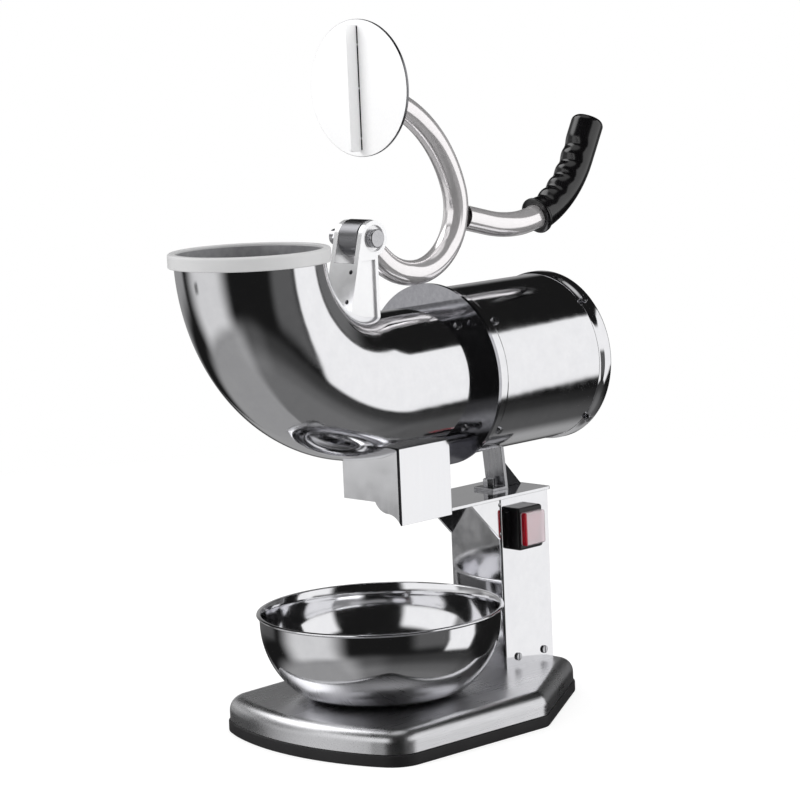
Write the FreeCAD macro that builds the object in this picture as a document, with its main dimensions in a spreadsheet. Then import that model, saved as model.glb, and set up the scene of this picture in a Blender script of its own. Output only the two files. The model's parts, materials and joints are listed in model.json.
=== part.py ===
import FreeCAD, Part
import Sketcher
import math
import os
import re
from FreeCAD import Placement, Rotation, Vector

# Electric ice shaver with a press lever.
#
# A motor lies on top of a square column. Its shaft turns a blade carrier at the root of a
# curved feed tube. Ice goes in at the tube's mouth, and a lever swings a round press disc down
# through the bend, so the pivot of the lever is the centre of the bend. Shaved ice drops through
# a square chute into a bowl on the base.
#
# Frame: origin at the centre of the base's underside, +Z up, the feed mouth towards -Y, the motor
# towards +Y, the switch on the +X side. Millimetres.

SIZES = [
    ("fit_gap", 0.3, "clearance of parts that pass through openings"),
    ("through", 1.0, "how far a cutting tool runs past the face that it opens"),
    # base
    ("base_half_width", 85.0, "half the width of the pressed base"),
    ("base_front", 113.0, "from the origin to the middle of the bowed front edge"),
    ("base_rear", 113.0, "from the origin to the rear edge"),
    ("base_front_bow_r", 172.0, "radius of the bowed front edge"),
    ("base_shoulder_y", 30.0, "where the straight sides turn in towards the rear"),
    ("base_rear_half", 35.0, "half the width of the rear edge"),
    ("base_corner_r", 13.0, "radius of the corners seen from above"),
    ("base_bend_r", 9.0, "radius of the pressed top edge"),
    ("base_sheet", 1.2, "sheet of the pressed base"),
    ("tray_h", 7.5, "height of the rubber tray below the metal"),
    ("tray_proud", 1.0, "how far the tray stands out past the metal"),
    ("tray_wall", 3.5, "wall of the tray inside the metal's outline"),
    ("tray_floor", 2.6, "floor of the tray"),
    ("base_h", 22.5, "top of the base above the table"),
    ("post_x", 58.0, "standoffs from the middle, sideways"),
    ("post_front_y", 72.0, "front standoffs, ahead of the origin"),
    ("post_rear_y", 24.0, "rear standoffs, behind the origin"),
    ("post_r", 5.0, "corner radius of the hexagonal standoffs"),
    ("base_screw_r", 2.0, "shank radius of the base screws"),
    ("base_screw_len", 11.0, "length of the base screws"),
    ("base_head_r", 3.8, "head radius of the base screws"),
    ("base_head_h", 1.6, "head height of the base screws"),
    ("slot_depth", 0.8, "depth of a screw slot"),
    ("slot_across", 0.9, "width of a screw slot"),
    # column
    ("column_w", 45.5, "width of the column"),
    ("column_d", 45.7, "depth of the column"),
    ("column_h", 112.0, "height of the column's walls"),
    ("column_sheet", 1.2, "sheet of the column"),
    ("column_edge_r", 1.6, "bend radius of the column's front edges"),
    ("column_y", 60.0, "front face of the column"),
    ("column_return", 9.0, "width of the folded returns at the back"),
    ("cover_inset", 1.0, "gap above and below the rear cover"),
    ("foot_h", 12.0, "upright leg of the angles inside the column's foot"),
    ("foot_w", 11.0, "flat leg of those angles"),
    ("foot_t", 1.6, "thickness of those angles"),
    ("foot_len", 36.0, "length of those angles"),
    ("foot_y", 66.5, "front end of those angles"),
    ("foot_screw_z", 6.0, "foot screws above the base"),
    ("foot_screw_front", 72.0, "front foot screws"),
    ("foot_screw_rear", 97.0, "rear foot screws"),
    ("foot_bolt_inset", 6.0, "foot bolts from the foot screws, along the column"),
    ("foot_bolt_head_h", 3.0, "head height of the foot bolts"),
    ("foot_bolt_len", 9.0, "length of the foot bolts below their heads"),
    ("cover_screw_inset", 9.0, "end screws of the rear cover from the column's ends"),
    ("small_r", 1.5, "shank radius of the small screws"),
    ("small_len", 5.0, "length of the small screws"),
    ("small_head_r", 2.6, "head radius of the small screws"),
    ("small_head_h", 1.3, "head height of the small screws"),
    # top plate, gussets and neck
    ("top_plate_t", 2.0, "thickness of the top plate"),
    ("top_plate_w", 50.0, "width of the top plate"),
    ("top_plate_over", 1.3, "how far the top plate runs past the column at the back"),
    ("top_plate_corner", 2.0, "corner radius of the top plate"),
    ("gusset_leg", 26.5, "legs of the triangular gussets"),
    ("gusset_t", 2.0, "thickness of the gussets"),
    ("tack_r", 2.2, "ball radius of a tack weld"),
    ("tack_proud", 0.5, "how far a tack weld stands out"),
    ("tack_inset", 3.6, "tack welds from the gusset's ends"),
    ("neck_w", 17.0, "width of the neck"),
    ("neck_t", 3.0, "thickness of the neck"),
    ("neck_rear", 84.0, "rear face of the neck at its foot"),
    ("neck_lean", 3.3, "how far the neck leans forward"),
    ("neck_into", 2.3, "top of the neck above the lowest line of the motor cover"),
    ("neck_foot", 15.0, "length of the neck's foot ahead of its rear face"),
    ("neck_foot_t", 2.0, "thickness of that foot"),
    ("neck_bolt_y", 74.7, "bolt in the neck's foot"),
    ("rib_t", 3.0, "thickness of the rib behind the neck"),
    ("rib_len", 20.0, "length of the rib along the plate"),
    ("rib_h", 24.5, "height of the rib"),
    ("bolt_r", 2.5, "shank radius of the neck bolt"),
    ("bolt_len", 12.0, "length of the neck bolt below its head"),
    ("bolt_head_r", 4.1, "corner radius of its head"),
    ("bolt_head_h", 5.4, "height of its head"),
    ("bolt_nut_h", 4.0, "height of its nut"),
    # switch
    ("switch_y", 80.0, "middle of the switch"),
    ("switch_z", 113.8, "middle of the switch"),
    ("switch_w", 22.8, "width of the switch's surround"),
    ("switch_tall", 27.8, "height of the switch's surround"),
    ("switch_proud", 8.2, "how far the surround stands out from the column"),
    ("switch_edge_r", 1.5, "rounding of the surround"),
    ("switch_corner_r", 2.0, "corner radius of the surround"),
    ("switch_depth", 18.0, "depth of the switch's body behind the wall"),
    ("switch_body_w", 18.0, "width of the switch's body"),
    ("switch_body_tall", 22.0, "height of the switch's body"),
    ("well_w", 16.6, "width of the well that the rocker sits in"),
    ("well_tall", 19.6, "height of that well"),
    ("well_depth", 7.6, "depth of that well"),
    ("rocker_tall", 17.6, "height of the rocker"),
    ("rocker_axle_in", 3.0, "axle of the rocker behind the surround's face"),
    ("rocker_front", 2.2, "thickness of the rocker ahead of its axle"),
    ("rocker_back", 2.5, "thickness of the rocker behind its axle"),
    ("rocker_slope_deg", 8.0, "slope of each half of the rocker's face"),
    ("rocker_axle_r", 1.2, "radius of the rocker's axle"),
    ("rocker_stub", 1.0, "length of the axle past the rocker"),
    ("cap_w", 19.4, "width of the clear splash cap"),
    ("cap_tall", 21.6, "height of the splash cap"),
    ("cap_proud", 4.0, "depth of the splash cap"),
    ("cap_wall", 0.8, "wall of the splash cap"),
    ("cap_round", 1.0, "rounding of the splash cap"),
    ("gasket_over", 3.3, "how far the clear gasket shows beside the surround"),
    ("gasket_tall", 22.8, "height of the gasket"),
    ("gasket_t", 1.0, "thickness of the gasket"),
    # electrics in the column
    ("capacitor_r", 14.0, "radius of the motor's run capacitor"),
    ("capacitor_h", 52.0, "height of the capacitor"),
    ("capacitor_y", 82.0, "middle of the capacitor"),
    ("capacitor_z", 38.0, "underside of the capacitor"),
    ("can_rim", 1.0, "rim round the capacitor's lid"),
    ("tab_x", 5.0, "terminals from the capacitor's middle"),
    ("tab_t", 0.8, "thickness of the terminals"),
    ("tab_w", 6.0, "width of the terminals"),
    ("tab_h", 7.0, "height of the terminals above the can"),
    ("clip_t", 1.2, "thickness of the capacitor's clip"),
    ("clip_h", 14.0, "height of the clip"),
    ("clip_ear", 5.0, "how far the clip's ear runs past the can"),
    ("gland_z", 42.0, "cable gland above the table"),
    ("gland_bore_r", 3.8, "bore of the cable gland"),
    ("gland_r", 8.5, "corner radius of the cable gland"),
    ("gland_thread_r", 6.0, "thread radius of the cable gland"),
    ("gland_hex", 5.0, "thickness of its hexagon"),
    ("gland_len", 15.0, "how far the gland stands out at the back"),
    ("gland_dome_r", 7.1, "radius of its dome where it meets the hexagon"),
    ("gland_wall", 1.6, "wall of its mouth"),
    ("gland_nut_h", 4.0, "thickness of its nut"),
    ("gland_nut_r", 9.3, "corner radius of its nut"),
    ("gland_tail", 1.0, "thread past that nut"),
    # motor
    ("axis_z", 218.5, "height of the motor's axis"),
    ("flange_y", 26.2, "front face of the motor flange"),
    ("flange_t", 2.5, "thickness of the motor flange"),
    ("flange_over", 4.1, "how far the flange's rim stands out past the cover"),
    ("spigot_len", 12.0, "collar that carries the feed tube"),
    ("spigot_t", 3.0, "thickness of that collar"),
    ("skirt_len", 19.3, "collar behind the flange that carries the cover and the stator"),
    ("skirt_t", 3.0, "thickness of that collar"),
    ("housing_wall", 3.5, "wall of the bearing housings"),
    ("shell_r", 54.3, "outer radius of the motor cover"),
    ("shell_sheet", 1.0, "sheet of the motor cover"),
    ("shell_len", 104.0, "length of the motor cover"),
    ("band_step", 0.6, "step of the cover's front band"),
    ("band_len", 10.3, "length of that band"),
    ("cap_y", 137.0, "rear face of the motor"),
    ("cap_skirt", 11.0, "depth of the rear cap"),
    ("cap_sheet", 1.4, "sheet of the rear cap"),
    ("cap_edge_r", 3.5, "radius of the rear cap's edge"),
    ("cap_screw_in", 3.5, "screws of the rear cap from the front of its skirt"),
    ("cap_screw_deg", 45.0, "degrees from the top"),
    ("vent_in_r", 20.0, "inner end of the vent slots"),
    ("vent_out_r", 42.0, "outer end of the vent slots"),
    ("vent_w", 3.6, "width of a vent slot"),
    ("vent_count", 16, "number of vent slots"),
    ("shaft_r", 6.0, "radius of the motor shaft"),
    ("shaft_bore", 0.6, "gap round the shaft where it leaves the flange"),
    ("shaft_end", 124.0, "rear end of the shaft"),
    ("bearing_r", 16.0, "outer radius of the bearings"),
    ("bearing_w", 9.0, "width of the bearings"),
    ("race_t", 2.6, "thickness of a bearing ring"),
    ("ball_count", 9, "balls in a bearing"),
    ("ball_gap", 0.04, "gap between a ball and the rings"),
    ("front_bearing_y", 29.2, "front bearing"),
    ("rear_bearing_y", 99.0, "rear bearing"),
    ("shield_y", 105.0, "front face of the rear bearing shield"),
    ("shield_t", 5.0, "thickness of the rear bearing shield"),
    ("stator_y", 48.0, "front end of the stator stack"),
    ("stator_len", 44.0, "length of the stator stack"),
    ("stator_gap", 1.8, "gap between the stator and the cover"),
    ("stator_bore_r", 27.0, "bore of the stator"),
    ("winding_lift", 2.5, "windings outside the stator's bore"),
    ("winding_inset", 6.5, "windings inside the stator's outer edge"),
    ("winding_round", 2.5, "rounding of the windings"),
    ("winding_len", 8.0, "how far the windings stand out of the stack"),
    ("air_gap", 0.4, "gap between stator and rotor"),
    ("end_ring_t", 4.0, "thickness of the rotor's end rings"),
    ("end_ring_r", 15.0, "inner radius of the rotor's end rings"),
    ("end_ring_in", 1.0, "end rings inside the rotor's outer edge"),
    ("tie_r", 1.8, "radius of the motor's tie bolts"),
    ("tie_inset", 3.3, "tie bolts inside the stator's outer edge"),
    ("tie_head_r", 3.4, "head radius of the tie bolts"),
    ("tie_head_h", 2.5, "head height of the tie bolts"),
    ("fan_y", 112.0, "front face of the cooling fan"),
    ("fan_gap", 13.3, "gap between the cooling fan and the cover"),
    ("fan_hub_r", 11.0, "hub radius of the fan"),
    ("fan_t", 1.6, "thickness of the fan's disc"),
    ("fan_w", 8.0, "width of the fan with its blades"),
    ("fan_count", 9, "blades on the fan"),
    # blade carrier
    ("carrier_y", 31.5, "front face of the blade carrier, ahead of the origin"),
    ("carrier_gap", 0.8, "gap between the carrier and the tube"),
    ("carrier_t", 6.0, "thickness of the carrier's disc"),
    ("carrier_hub_r", 13.0, "radius of the carrier's hub"),
    ("carrier_hub_y", 17.0, "rear end of the hub"),
    ("stud_r", 4.0, "radius of the stud that takes the nose nut"),
    ("stud_step", 1.5, "web of the carrier ahead of the shaft's shoulder"),
    ("paddle_t", 3.0, "thickness of the paddles behind the disc"),
    ("paddle_y", 8.0, "rear end of the paddles"),
    ("paddle_count", 3, "paddles"),
    ("paddle_deg", 30.0, "first paddle, degrees from the top"),
    ("sunk", 1.0, "how far a part that is fused to another is sunk into it"),
    ("slot_w", 6.0, "width of the slots that pass the shavings"),
    ("blade_in_r", 14.0, "inner end of the blades"),
    ("blade_len", 26.0, "length of a blade"),
    ("blade_w", 12.0, "width of a blade"),
    ("blade_t", 1.8, "thickness of a blade"),
    ("blade_proud", 0.8, "how far a blade stands out of the disc"),
    ("blade_bevel", 1.5, "bevel of a blade's edge"),
    ("blade_screw_in", 3.0, "depth of the blade screws in the carrier"),
    ("nose_r", 9.0, "corner radius of the nose nut"),
    ("nose_len", 8.0, "length of the nose nut"),
    ("nose_dome_r", 12.0, "radius of the nose nut's domed end"),
    ("nose_dome_over", 0.6, "how far that dome would stand past the nut's flat end"),
    ("stud_in", 1.0, "end of the stud inside the nose nut"),
    # feed tube
    ("tube_r", 45.5, "outer radius of the feed tube"),
    ("tube_wall", 1.0, "wall of the feed tube"),
    ("bend_r", 93.0, "radius of the bend, from the lever's pivot"),
    ("bend_y", -32.0, "centre of the bend"),
    ("drop_front", -24.0, "front of the opening above the chute"),
    ("ring_r", 49.0, "outer radius of the mouth ring"),
    ("ring_bore_r", 44.5, "inner radius of the mouth ring"),
    ("ring_skirt", 7.1, "skirt of the mouth ring below the tube's edge"),
    ("ring_skirt_r", 46.3, "inner radius of that skirt"),
    ("ring_lip", 1.5, "lip of the mouth ring over the tube's edge"),
    ("tube_screw_y", 20.0, "screws that hold the tube on its collar"),
    ("tube_screw_high_deg", 42.0, "upper ones, degrees from the top"),
    ("tube_screw_low_deg", 133.0, "lower ones, degrees from the top"),
    ("cover_screw_y", 42.0, "screws that hold the motor cover"),
    ("cover_screw_deg", 50.0, "degrees from the top"),
    # chute
    ("chute_w", 50.0, "width of the chute"),
    ("chute_front", 32.5, "front of the chute, ahead of the origin"),
    ("chute_rear", 13.5, "rear of the chute"),
    ("chute_sheet", 1.2, "sheet of the chute"),
    ("chute_top", 200.0, "height where the chute is lost in the tube"),
    ("chute_low", 132.3, "lower edge on the switch side"),
    ("chute_high", 145.6, "lower edge on the other side"),
    ("chute_step_x", 3.0, "where the front edge starts to fall"),
    ("chute_step_r", 12.5, "the two bends of the front edge"),
    # lever bracket
    ("cheek_in", 8.6, "inner face of the bracket's cheeks"),
    ("cheek_t", 2.0, "sheet of the bracket"),
    ("eye_r", 11.0, "radius of the bracket's eyes"),
    ("eye_rim_r", 8.4, "inner radius of the raised ring"),
    ("rim_h", 1.6, "height of the raised rim round the cheeks"),
    ("rim_w", 2.6, "width of that rim"),
    ("rim_gap", 2.0, "from the eye to the sunk field of the leg"),
    ("bracket_lean_deg", 14.2, "lean of the bracket's front edge, in degrees"),
    ("bracket_rear", 2.5, "rear edge of the bracket, behind the pivot"),
    ("bracket_h", 60.0, "length of the cheeks before they are cut to the tube"),
    ("web_top", 14.5, "top of the bracket's front web, below the pivot"),
    ("rivet_high", 19.5, "upper rivet, below the pivot"),
    ("rivet_low", 37.5, "lower rivet, below the pivot"),
    ("rivet_in", 1.6, "rivets from the inner face of the cheek"),
    ("rivet_r", 0.9, "shank radius of the rivets"),
    ("rivet_len", 2.6, "length of the rivets"),
    ("rivet_ball_r", 1.7, "ball radius of the rivets' heads"),
    ("rivet_head_h", 0.8, "height of the rivets' heads"),
    ("pin_r", 5.0, "radius of the pivot bolt"),
    ("pin_head_r", 5.8, "radius of the pivot bolt's head"),
    ("pin_head_h", 4.9, "height of its head"),
    ("pin_round", 0.8, "rounding of its head"),
    ("pin_tail", 12.4, "thread past the far cheek"),
    ("nut_r", 8.6, "corner radius of the pivot nut"),
    ("nut_h", 6.0, "height of the pivot nut"),
    ("running_gap", 0.05, "radial clearance of the pivot"),
    ("side_gap", 0.3, "clearance on each side of the lever's hub"),
    # lever
    ("arm_r", 8.0, "outer radius of the lever's tube"),
    ("arm_wall", 1.5, "wall of the lever's tube"),
    ("sweep_in", 5.0, "the arm's long bend inside the middle line of the feed tube's bend"),
    ("sweep_end_deg", 74.0, "end of that bend, degrees behind the top"),
    ("curl_r", 39.7, "radius of the arm's tight bend"),
    ("tail_deg", 42.25, "slope of the arm's straight end, which runs up to the hub"),
    ("hub_r", 11.5, "radius of the lever's hub"),
    ("disc_y", 3.8, "front face of the press disc behind the pivot"),
    ("disc_r", 42.3, "radius of the press disc"),
    ("disc_t", 2.0, "thickness of the press disc"),
    ("disc_edge", 0.4, "bevel of the disc's front edge"),
    ("disc_screw_x", 8.5, "screws of the press disc from its middle"),
    ("disc_in", 1.0, "centre of the press disc inside the middle line of the tube's bend"),
    ("boss_r", 15.0, "radius of the boss behind the disc"),
    ("boss_t", 4.0, "thickness of that boss"),
    ("boss_round", 1.2, "rounding of that boss"),
    ("fin_h", 9.0, "height of the fin on the press disc"),
    ("fin_t", 1.8, "thickness of that fin"),
    ("fin_half", 38.8, "half the length of that fin"),
    ("fin_round", 2.0, "rounding of its front corners"),
    ("handle_in", 2.0, "start of the handle inside the arm's middle line"),
    ("handle_q", 6.3, "start of the handle above the pivot"),
    ("handle_drop_deg", 14.0, "slope of the handle where it leaves the arm, in degrees"),
    ("handle_lead", 29.0, "straight start of the handle"),
    ("handle_sag_r", 107.0, "radius of the handle's slack bend"),
    ("handle_rise_r", 72.0, "radius of the bend up to the grip"),
    ("handle_rise_deg", 62.0, "slope of the grip's end, in degrees"),
    ("handle_end", 18.0, "straight end of the handle"),
    ("grip_start_deg", 17.0, "slope of the handle where the grip starts, in degrees"),
    ("grip_r", 10.9, "radius of the grip"),
    ("grip_end_r", 4.5, "rounding of the grip's end"),
    ("grip_over", 11.0, "grip past the end of the tube"),
    ("grip_lip", 1.4, "height of the lip at the start of the grip"),
    ("grip_lip_w", 2.6, "width of that lip"),
    ("finger_r", 5.5, "radius of the finger grooves"),
    ("finger_depth", 1.7, "depth of the finger grooves"),
    ("finger_first", 13.0, "first groove from the start of the grip"),
    ("finger_pitch", 12.5, "from one groove to the next"),
    ("finger_count", 5, "finger grooves"),
    # bowl
    ("bowl_y", -29.4, "middle of the bowl"),
    ("bowl_h", 54.4, "height of the bowl"),
    ("bowl_foot_r", 40.0, "radius of the bowl's flat foot"),
    ("bowl_foot_bend", 26.0, "radius of the bend above the foot"),
    ("bowl_foot_deg", 40.0, "slope where that bend ends, in degrees"),
    ("bowl_side_bend", 55.0, "radius of the bowl's side"),
    ("bowl_side_deg", 88.0, "slope where the side ends, in degrees"),
    ("bowl_wall", 1.0, "wall of the bowl"),
    ("bowl_lip", 1.4, "width of the bowl's lip"),
    ("bowl_lip_t", 1.2, "thickness of that lip"),
    ("bowl_lip_r", 0.72, "radius of the lip's edge"),
    ("bowl_rest", 0.3, "clearance under the bowl"),
]

doc = FreeCAD.newDocument("IceShaver")
sheet = doc.addObject("Spreadsheet::Sheet", "Sizes")
for row, (alias, value, note) in enumerate(SIZES, start=1):
    sheet.set("A%d" % row, str(value))
    sheet.setAlias("A%d" % row, alias)
    sheet.set("B%d" % row, note)
doc.recompute()
NAMES = {alias for alias, value, note in SIZES}
PARTS = {}


def linked(words):
    """The same expression with each size read from the sheet."""
    return re.sub(r"[A-Za-z_]\w*", lambda m: ("Sizes." if m.group() in NAMES else "") + m.group(), str(words))


def size(words):
    """The value of an expression in sizes."""
    found = sheet.evalExpression(str(words))
    return float(getattr(found, "Value", found))


def bind(thing, **values):
    """Sets properties of a document object to expressions in sizes."""
    for name, words in values.items():
        thing.setExpression(name.replace("__", "."), linked(words))


TURNS = {
    "Z": Rotation(),
    "Y": Rotation(Vector(1, 1, 1), 240),
    "X": Rotation(Vector(1, 1, 1), 120),
}


def put(thing, at=("0", "0", "0"), along="Z"):
    """Turns a thing's own Z axis along an axis of the part and moves its origin.

    Along Y the thing's own x and y become Z and X; along X they become Y and Z.
    """
    thing.Placement = Placement(Vector(*[size(c) for c in at]), TURNS[along])
    for axis, words in zip("xyz", at):
        thing.setExpression("Placement.Base." + axis, linked(words))
    return thing


def keep(label, thing):
    """Names a finished sub-part."""
    thing.Label = label
    PARTS[label] = thing
    return thing


# ---- sketches ----------------------------------------------------------------------------

def pin_point(sketch, geo, pos, x, y):
    """Fixes one point of a sketch at (x, y), both expressions."""
    for kind, words, axis in (("DistanceX", x, -2), ("DistanceY", y, -1)):
        if str(words) == "0":
            sketch.addConstraint(Sketcher.Constraint("PointOnObject", geo, pos, axis))
        else:
            at = sketch.addConstraint(Sketcher.Constraint(kind, -1, 1, geo, pos, size(words)))
            sketch.setExpression("Constraints[%d]" % at, linked(words))


def draw(sketch, corners):
    """Draws a closed outline.

    A corner is (x, y) after a straight edge, or (x, y, r) after an arc of radius r, which turns
    left when r is positive and right when it is negative.
    """
    points = [(size(c[0]), size(c[1])) for c in corners]
    ends = []
    for i, corner in enumerate(corners):
        (x0, y0), (x1, y1) = points[i - 1], points[i]
        if len(corner) == 2:
            geo = sketch.addGeometry(Part.LineSegment(Vector(x0, y0, 0), Vector(x1, y1, 0)), False)
            ends.append((geo, 1, 2))
            continue
        radius = size(corner[2])
        half = math.hypot(x1 - x0, y1 - y0) / 2
        rise = math.sqrt(max(0.0, radius ** 2 - half ** 2)) * math.copysign(1, radius)
        cx = (x0 + x1) / 2 - (y1 - y0) / (2 * half) * rise
        cy = (y0 + y1) / 2 + (x1 - x0) / (2 * half) * rise
        first, last = ((x0, y0), (x1, y1)) if radius > 0 else ((x1, y1), (x0, y0))
        start = math.atan2(first[1] - cy, first[0] - cx)
        stop = math.atan2(last[1] - cy, last[0] - cx)
        if stop <= start:
            stop += 2 * math.pi
        circle = Part.Circle(Vector(cx, cy, 0), Vector(0, 0, 1), abs(radius))
        geo = sketch.addGeometry(Part.ArcOfCircle(circle, start, stop), False)
        ends.append((geo, 1, 2) if radius > 0 else (geo, 2, 1))
        at = sketch.addConstraint(Sketcher.Constraint("Radius", geo, abs(radius)))
        sketch.setExpression("Constraints[%d]" % at, linked("abs(%s)" % corner[2]))
    for i, (geo, start, stop) in enumerate(ends):
        before, _, before_stop = ends[i - 1]
        sketch.addConstraint(Sketcher.Constraint("Coincident", before, before_stop, geo, start))
        pin_point(sketch, geo, stop, corners[i][0], corners[i][1])


def drill(sketch, holes):
    """Adds round holes (x, y, r) to a sketch."""
    for x, y, r in holes:
        circle = Part.Circle(Vector(size(x), size(y), 0), Vector(0, 0, 1), size(r))
        geo = sketch.addGeometry(circle, False)
        pin_point(sketch, geo, 3, x, y)
        at = sketch.addConstraint(Sketcher.Constraint("Radius", geo, size(r)))
        sketch.setExpression("Constraints[%d]" % at, linked(r))


def sketch_in(body, role, corners, holes=()):
    """A sketch of an outline and its holes on one of the body's own planes."""
    sketch = body.newObject("Sketcher::SketchObject", body.Name + "_sketch")
    plane = [f for f in body.Origin.OriginFeatures if f.Role == role][0]
    sketch.AttachmentSupport = [(plane, "")]
    sketch.MapMode = "FlatFace"
    if corners:
        draw(sketch, corners)
    drill(sketch, holes)
    return sketch


def turned(name, corners, at=("0", "0", "0"), along="Z"):
    """A body of revolution: corners are (radius, height) along its own Z axis."""
    body = doc.addObject("PartDesign::Body", name)
    sketch = sketch_in(body, "XZ_Plane", corners)
    spin = body.newObject("PartDesign::Revolution", name + "_turn")
    spin.Profile = sketch
    spin.ReferenceAxis = (sketch, ["V_Axis"])
    spin.Angle = 360
    sketch.Visibility = False
    return put(body, at, along)


def plate(name, corners, thickness, holes=(), at=("0", "0", "0"), along="Z"):
    """A body padded from an outline in its own XY plane."""
    body = doc.addObject("PartDesign::Body", name)
    sketch = sketch_in(body, "XY_Plane", corners, holes)
    pad = body.newObject("PartDesign::Pad", name + "_pad")
    pad.Profile = sketch
    pad.Length = size(thickness)
    bind(pad, Length=thickness)
    sketch.Visibility = False
    return put(body, at, along)


def edges_where(shape, test):
    return ["Edge%d" % (i + 1) for i, edge in enumerate(shape.Edges) if test(edge)]


def dress(body, kind, test, amount):
    """Adds a fillet or chamfer to the edges of the body's last feature that pass a test."""
    doc.recompute()
    last = body.Tip
    feature = body.newObject("PartDesign::" + kind, body.Name + "_" + kind.lower())
    feature.Base = (last, edges_where(last.Shape, test))
    name = "Radius" if kind == "Fillet" else "Size"
    setattr(feature, name, size(amount))
    bind(feature, **{name: amount})
    return feature


def upright(edge):
    """True for a straight edge along Z."""
    box = edge.BoundBox
    return box.ZLength > 1e-6 and box.XLength + box.YLength < 1e-6


# ---- Part primitives ---------------------------------------------------------------------

def box(corner, lengths):
    """A Part::Box from its low corner and its three lengths."""
    solid = put(doc.addObject("Part::Box", "Block"), corner)
    bind(solid, Length=lengths[0], Width=lengths[1], Height=lengths[2])
    return solid


def rod(radius, length, at, along):
    """A Part::Cylinder from the middle of its first end."""
    solid = put(doc.addObject("Part::Cylinder", "Rod"), at, along)
    bind(solid, Radius=radius, Height=length)
    return solid


def joined(kind, name, first, *others):
    """Cuts the others from the first, or fuses or intersects them all."""
    result = first
    for other in others:
        step = doc.addObject("Part::" + kind, name)
        step.Base, step.Tool = result, other
        result = step
    return result


# ---- solids made with Part's functions -----------------------------------------------------

def v(words):
    return size(words)


def place(shape, at, along="Z"):
    """Turns a solid's own Z axis along an axis and moves it."""
    shape.Placement = Placement(Vector(*at), TURNS[along])
    return shape


def hexagon(radius, height):
    """A hexagonal prism on the origin, by its corner radius."""
    turns = [k * math.pi / 3 for k in range(7)]
    points = [Vector(radius * math.cos(a), radius * math.sin(a), 0) for a in turns]
    return Part.Face(Part.makePolygon(points)).extrude(Vector(0, 0, height))


def screw(head_r, head_h, shank_r, length, slotted=True):
    """A cheese-head screw: its head stands on the origin and its shank runs down."""
    head = Part.makeCylinder(head_r, head_h)
    head = head.makeFillet(head_h / 3, [e for e in head.Edges if e.BoundBox.ZMin > head_h - 1e-6])
    if slotted:
        across, depth = v("slot_across"), min(v("slot_depth"), head_h * 0.6)
        cut = Part.makeBox(2 * head_r, across, depth, Vector(-head_r, -across / 2, head_h - depth))
        head = head.cut(cut)
    return head.fuse(Part.makeCylinder(shank_r, length, Vector(0, 0, -length))).removeSplitter()


def small_screw():
    return screw(v("small_head_r"), v("small_head_h"), v("small_r"), v("small_len"))


def pointing(shape, at, direction):
    """Moves a solid from the origin and turns its Z axis to a direction."""
    shape.Placement = Placement(Vector(*at), Rotation(Vector(0, 0, 1), Vector(*direction)))
    return shape


def tool(shape):
    """A document object that only cuts or completes another."""
    feature = doc.addObject("Part::Feature", "Shape")
    feature.Shape = shape
    return feature


def group(label, solids):
    """One sub-part of several alike solids."""
    feature = doc.addObject("Part::Feature", label)
    feature.Shape = Part.makeCompound(solids)
    return keep(label, feature)


# ---- base --------------------------------------------------------------------------------

def base_outline(out):
    """The base seen from above, moved outwards by an expression."""
    half, front = "(base_half_width + %s)" % out, "(base_front + %s)" % out
    bow = "(base_front_bow_r + %s)" % out
    side_y = "%s - %s - sqrt(%s ^ 2 - %s ^ 2)" % (bow, front, bow, half)
    shoulder = "base_shoulder_y + %s * 0.3" % out
    rear, rear_half = "base_rear + %s" % out, "(base_rear_half + %s * 0.6)" % out
    return [
        ("-" + half, side_y),
        (half, side_y, bow),
        (half, shoulder),
        (rear_half, rear),
        ("-" + rear_half, rear),
        ("-" + half, shoulder),
    ]


def pan(name, out, height, z, top_r):
    """A slab of the base's outline with rounded corners and, where asked, a rounded top edge."""
    slab = plate(name, base_outline(out), height, at=("0", "0", z))
    dress(slab, "Fillet", upright, "base_corner_r + %s" % out)
    if top_r:
        top = size(height)
        dress(slab, "Fillet", lambda e: e.BoundBox.ZMin > top - 1e-6, top_r)
    return slab


POSTS = [(x, y) for x in ("-post_x", "post_x") for y in ("-post_front_y", "post_rear_y")]
FOOT_BOLTS = [(x, y) for x in ("-1", "1") for y in (
    "foot_screw_front + foot_bolt_inset", "foot_screw_rear - foot_bolt_inset")]
foot_bolt_x = "(column_w / 2 - column_sheet - (foot_w + foot_t) / 2)"
post_place = [(v(x), v(y)) for x, y in POSTS]
foot_place = [(v(s) * v(foot_bolt_x), v(y)) for s, y in FOOT_BOLTS]

outer = pan("base_outer", "0", "base_h - tray_h", "tray_h", "base_bend_r")
inner = pan("base_inner", "(-base_sheet)", "base_h - tray_h - base_sheet", "tray_h", "base_bend_r - base_sheet")
bolt_holes = [
    rod("bolt_r", "3 * base_sheet", ("%s * %s" % (s, foot_bolt_x), y, "base_h - 2 * base_sheet"), "Z")
    for s, y in FOOT_BOLTS
]
keep("base_shell", joined("Cut", "base_cut", outer, inner, *bolt_holes))

tray = pan("tray", "tray_proud", "tray_h", "0", None)
well = pan("tray_well", "(-tray_wall)", "tray_h", "tray_floor", None)
screw_holes = [rod("base_screw_r", "tray_h", (x, y, "0"), "Z") for x, y in POSTS]
screw_sinks = [
    rod("base_head_r + fit_gap", "base_head_h + fit_gap", (x, y, "0"), "Z")
    for x, y in POSTS
]
keep("base_tray", joined("Cut", "tray_cut", tray, well, *screw_holes, *screw_sinks))

post_low, post_high = v("tray_floor"), v("base_h - base_sheet")
posts = []
for x, y in post_place:
    post = place(hexagon(v("post_r"), post_high - post_low), (x, y, post_low))
    posts.append(post.cut(Part.makeCylinder(v("base_screw_r"), v("base_screw_len"), Vector(x, y, post_low))))
group("base_standoffs", posts)

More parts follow.
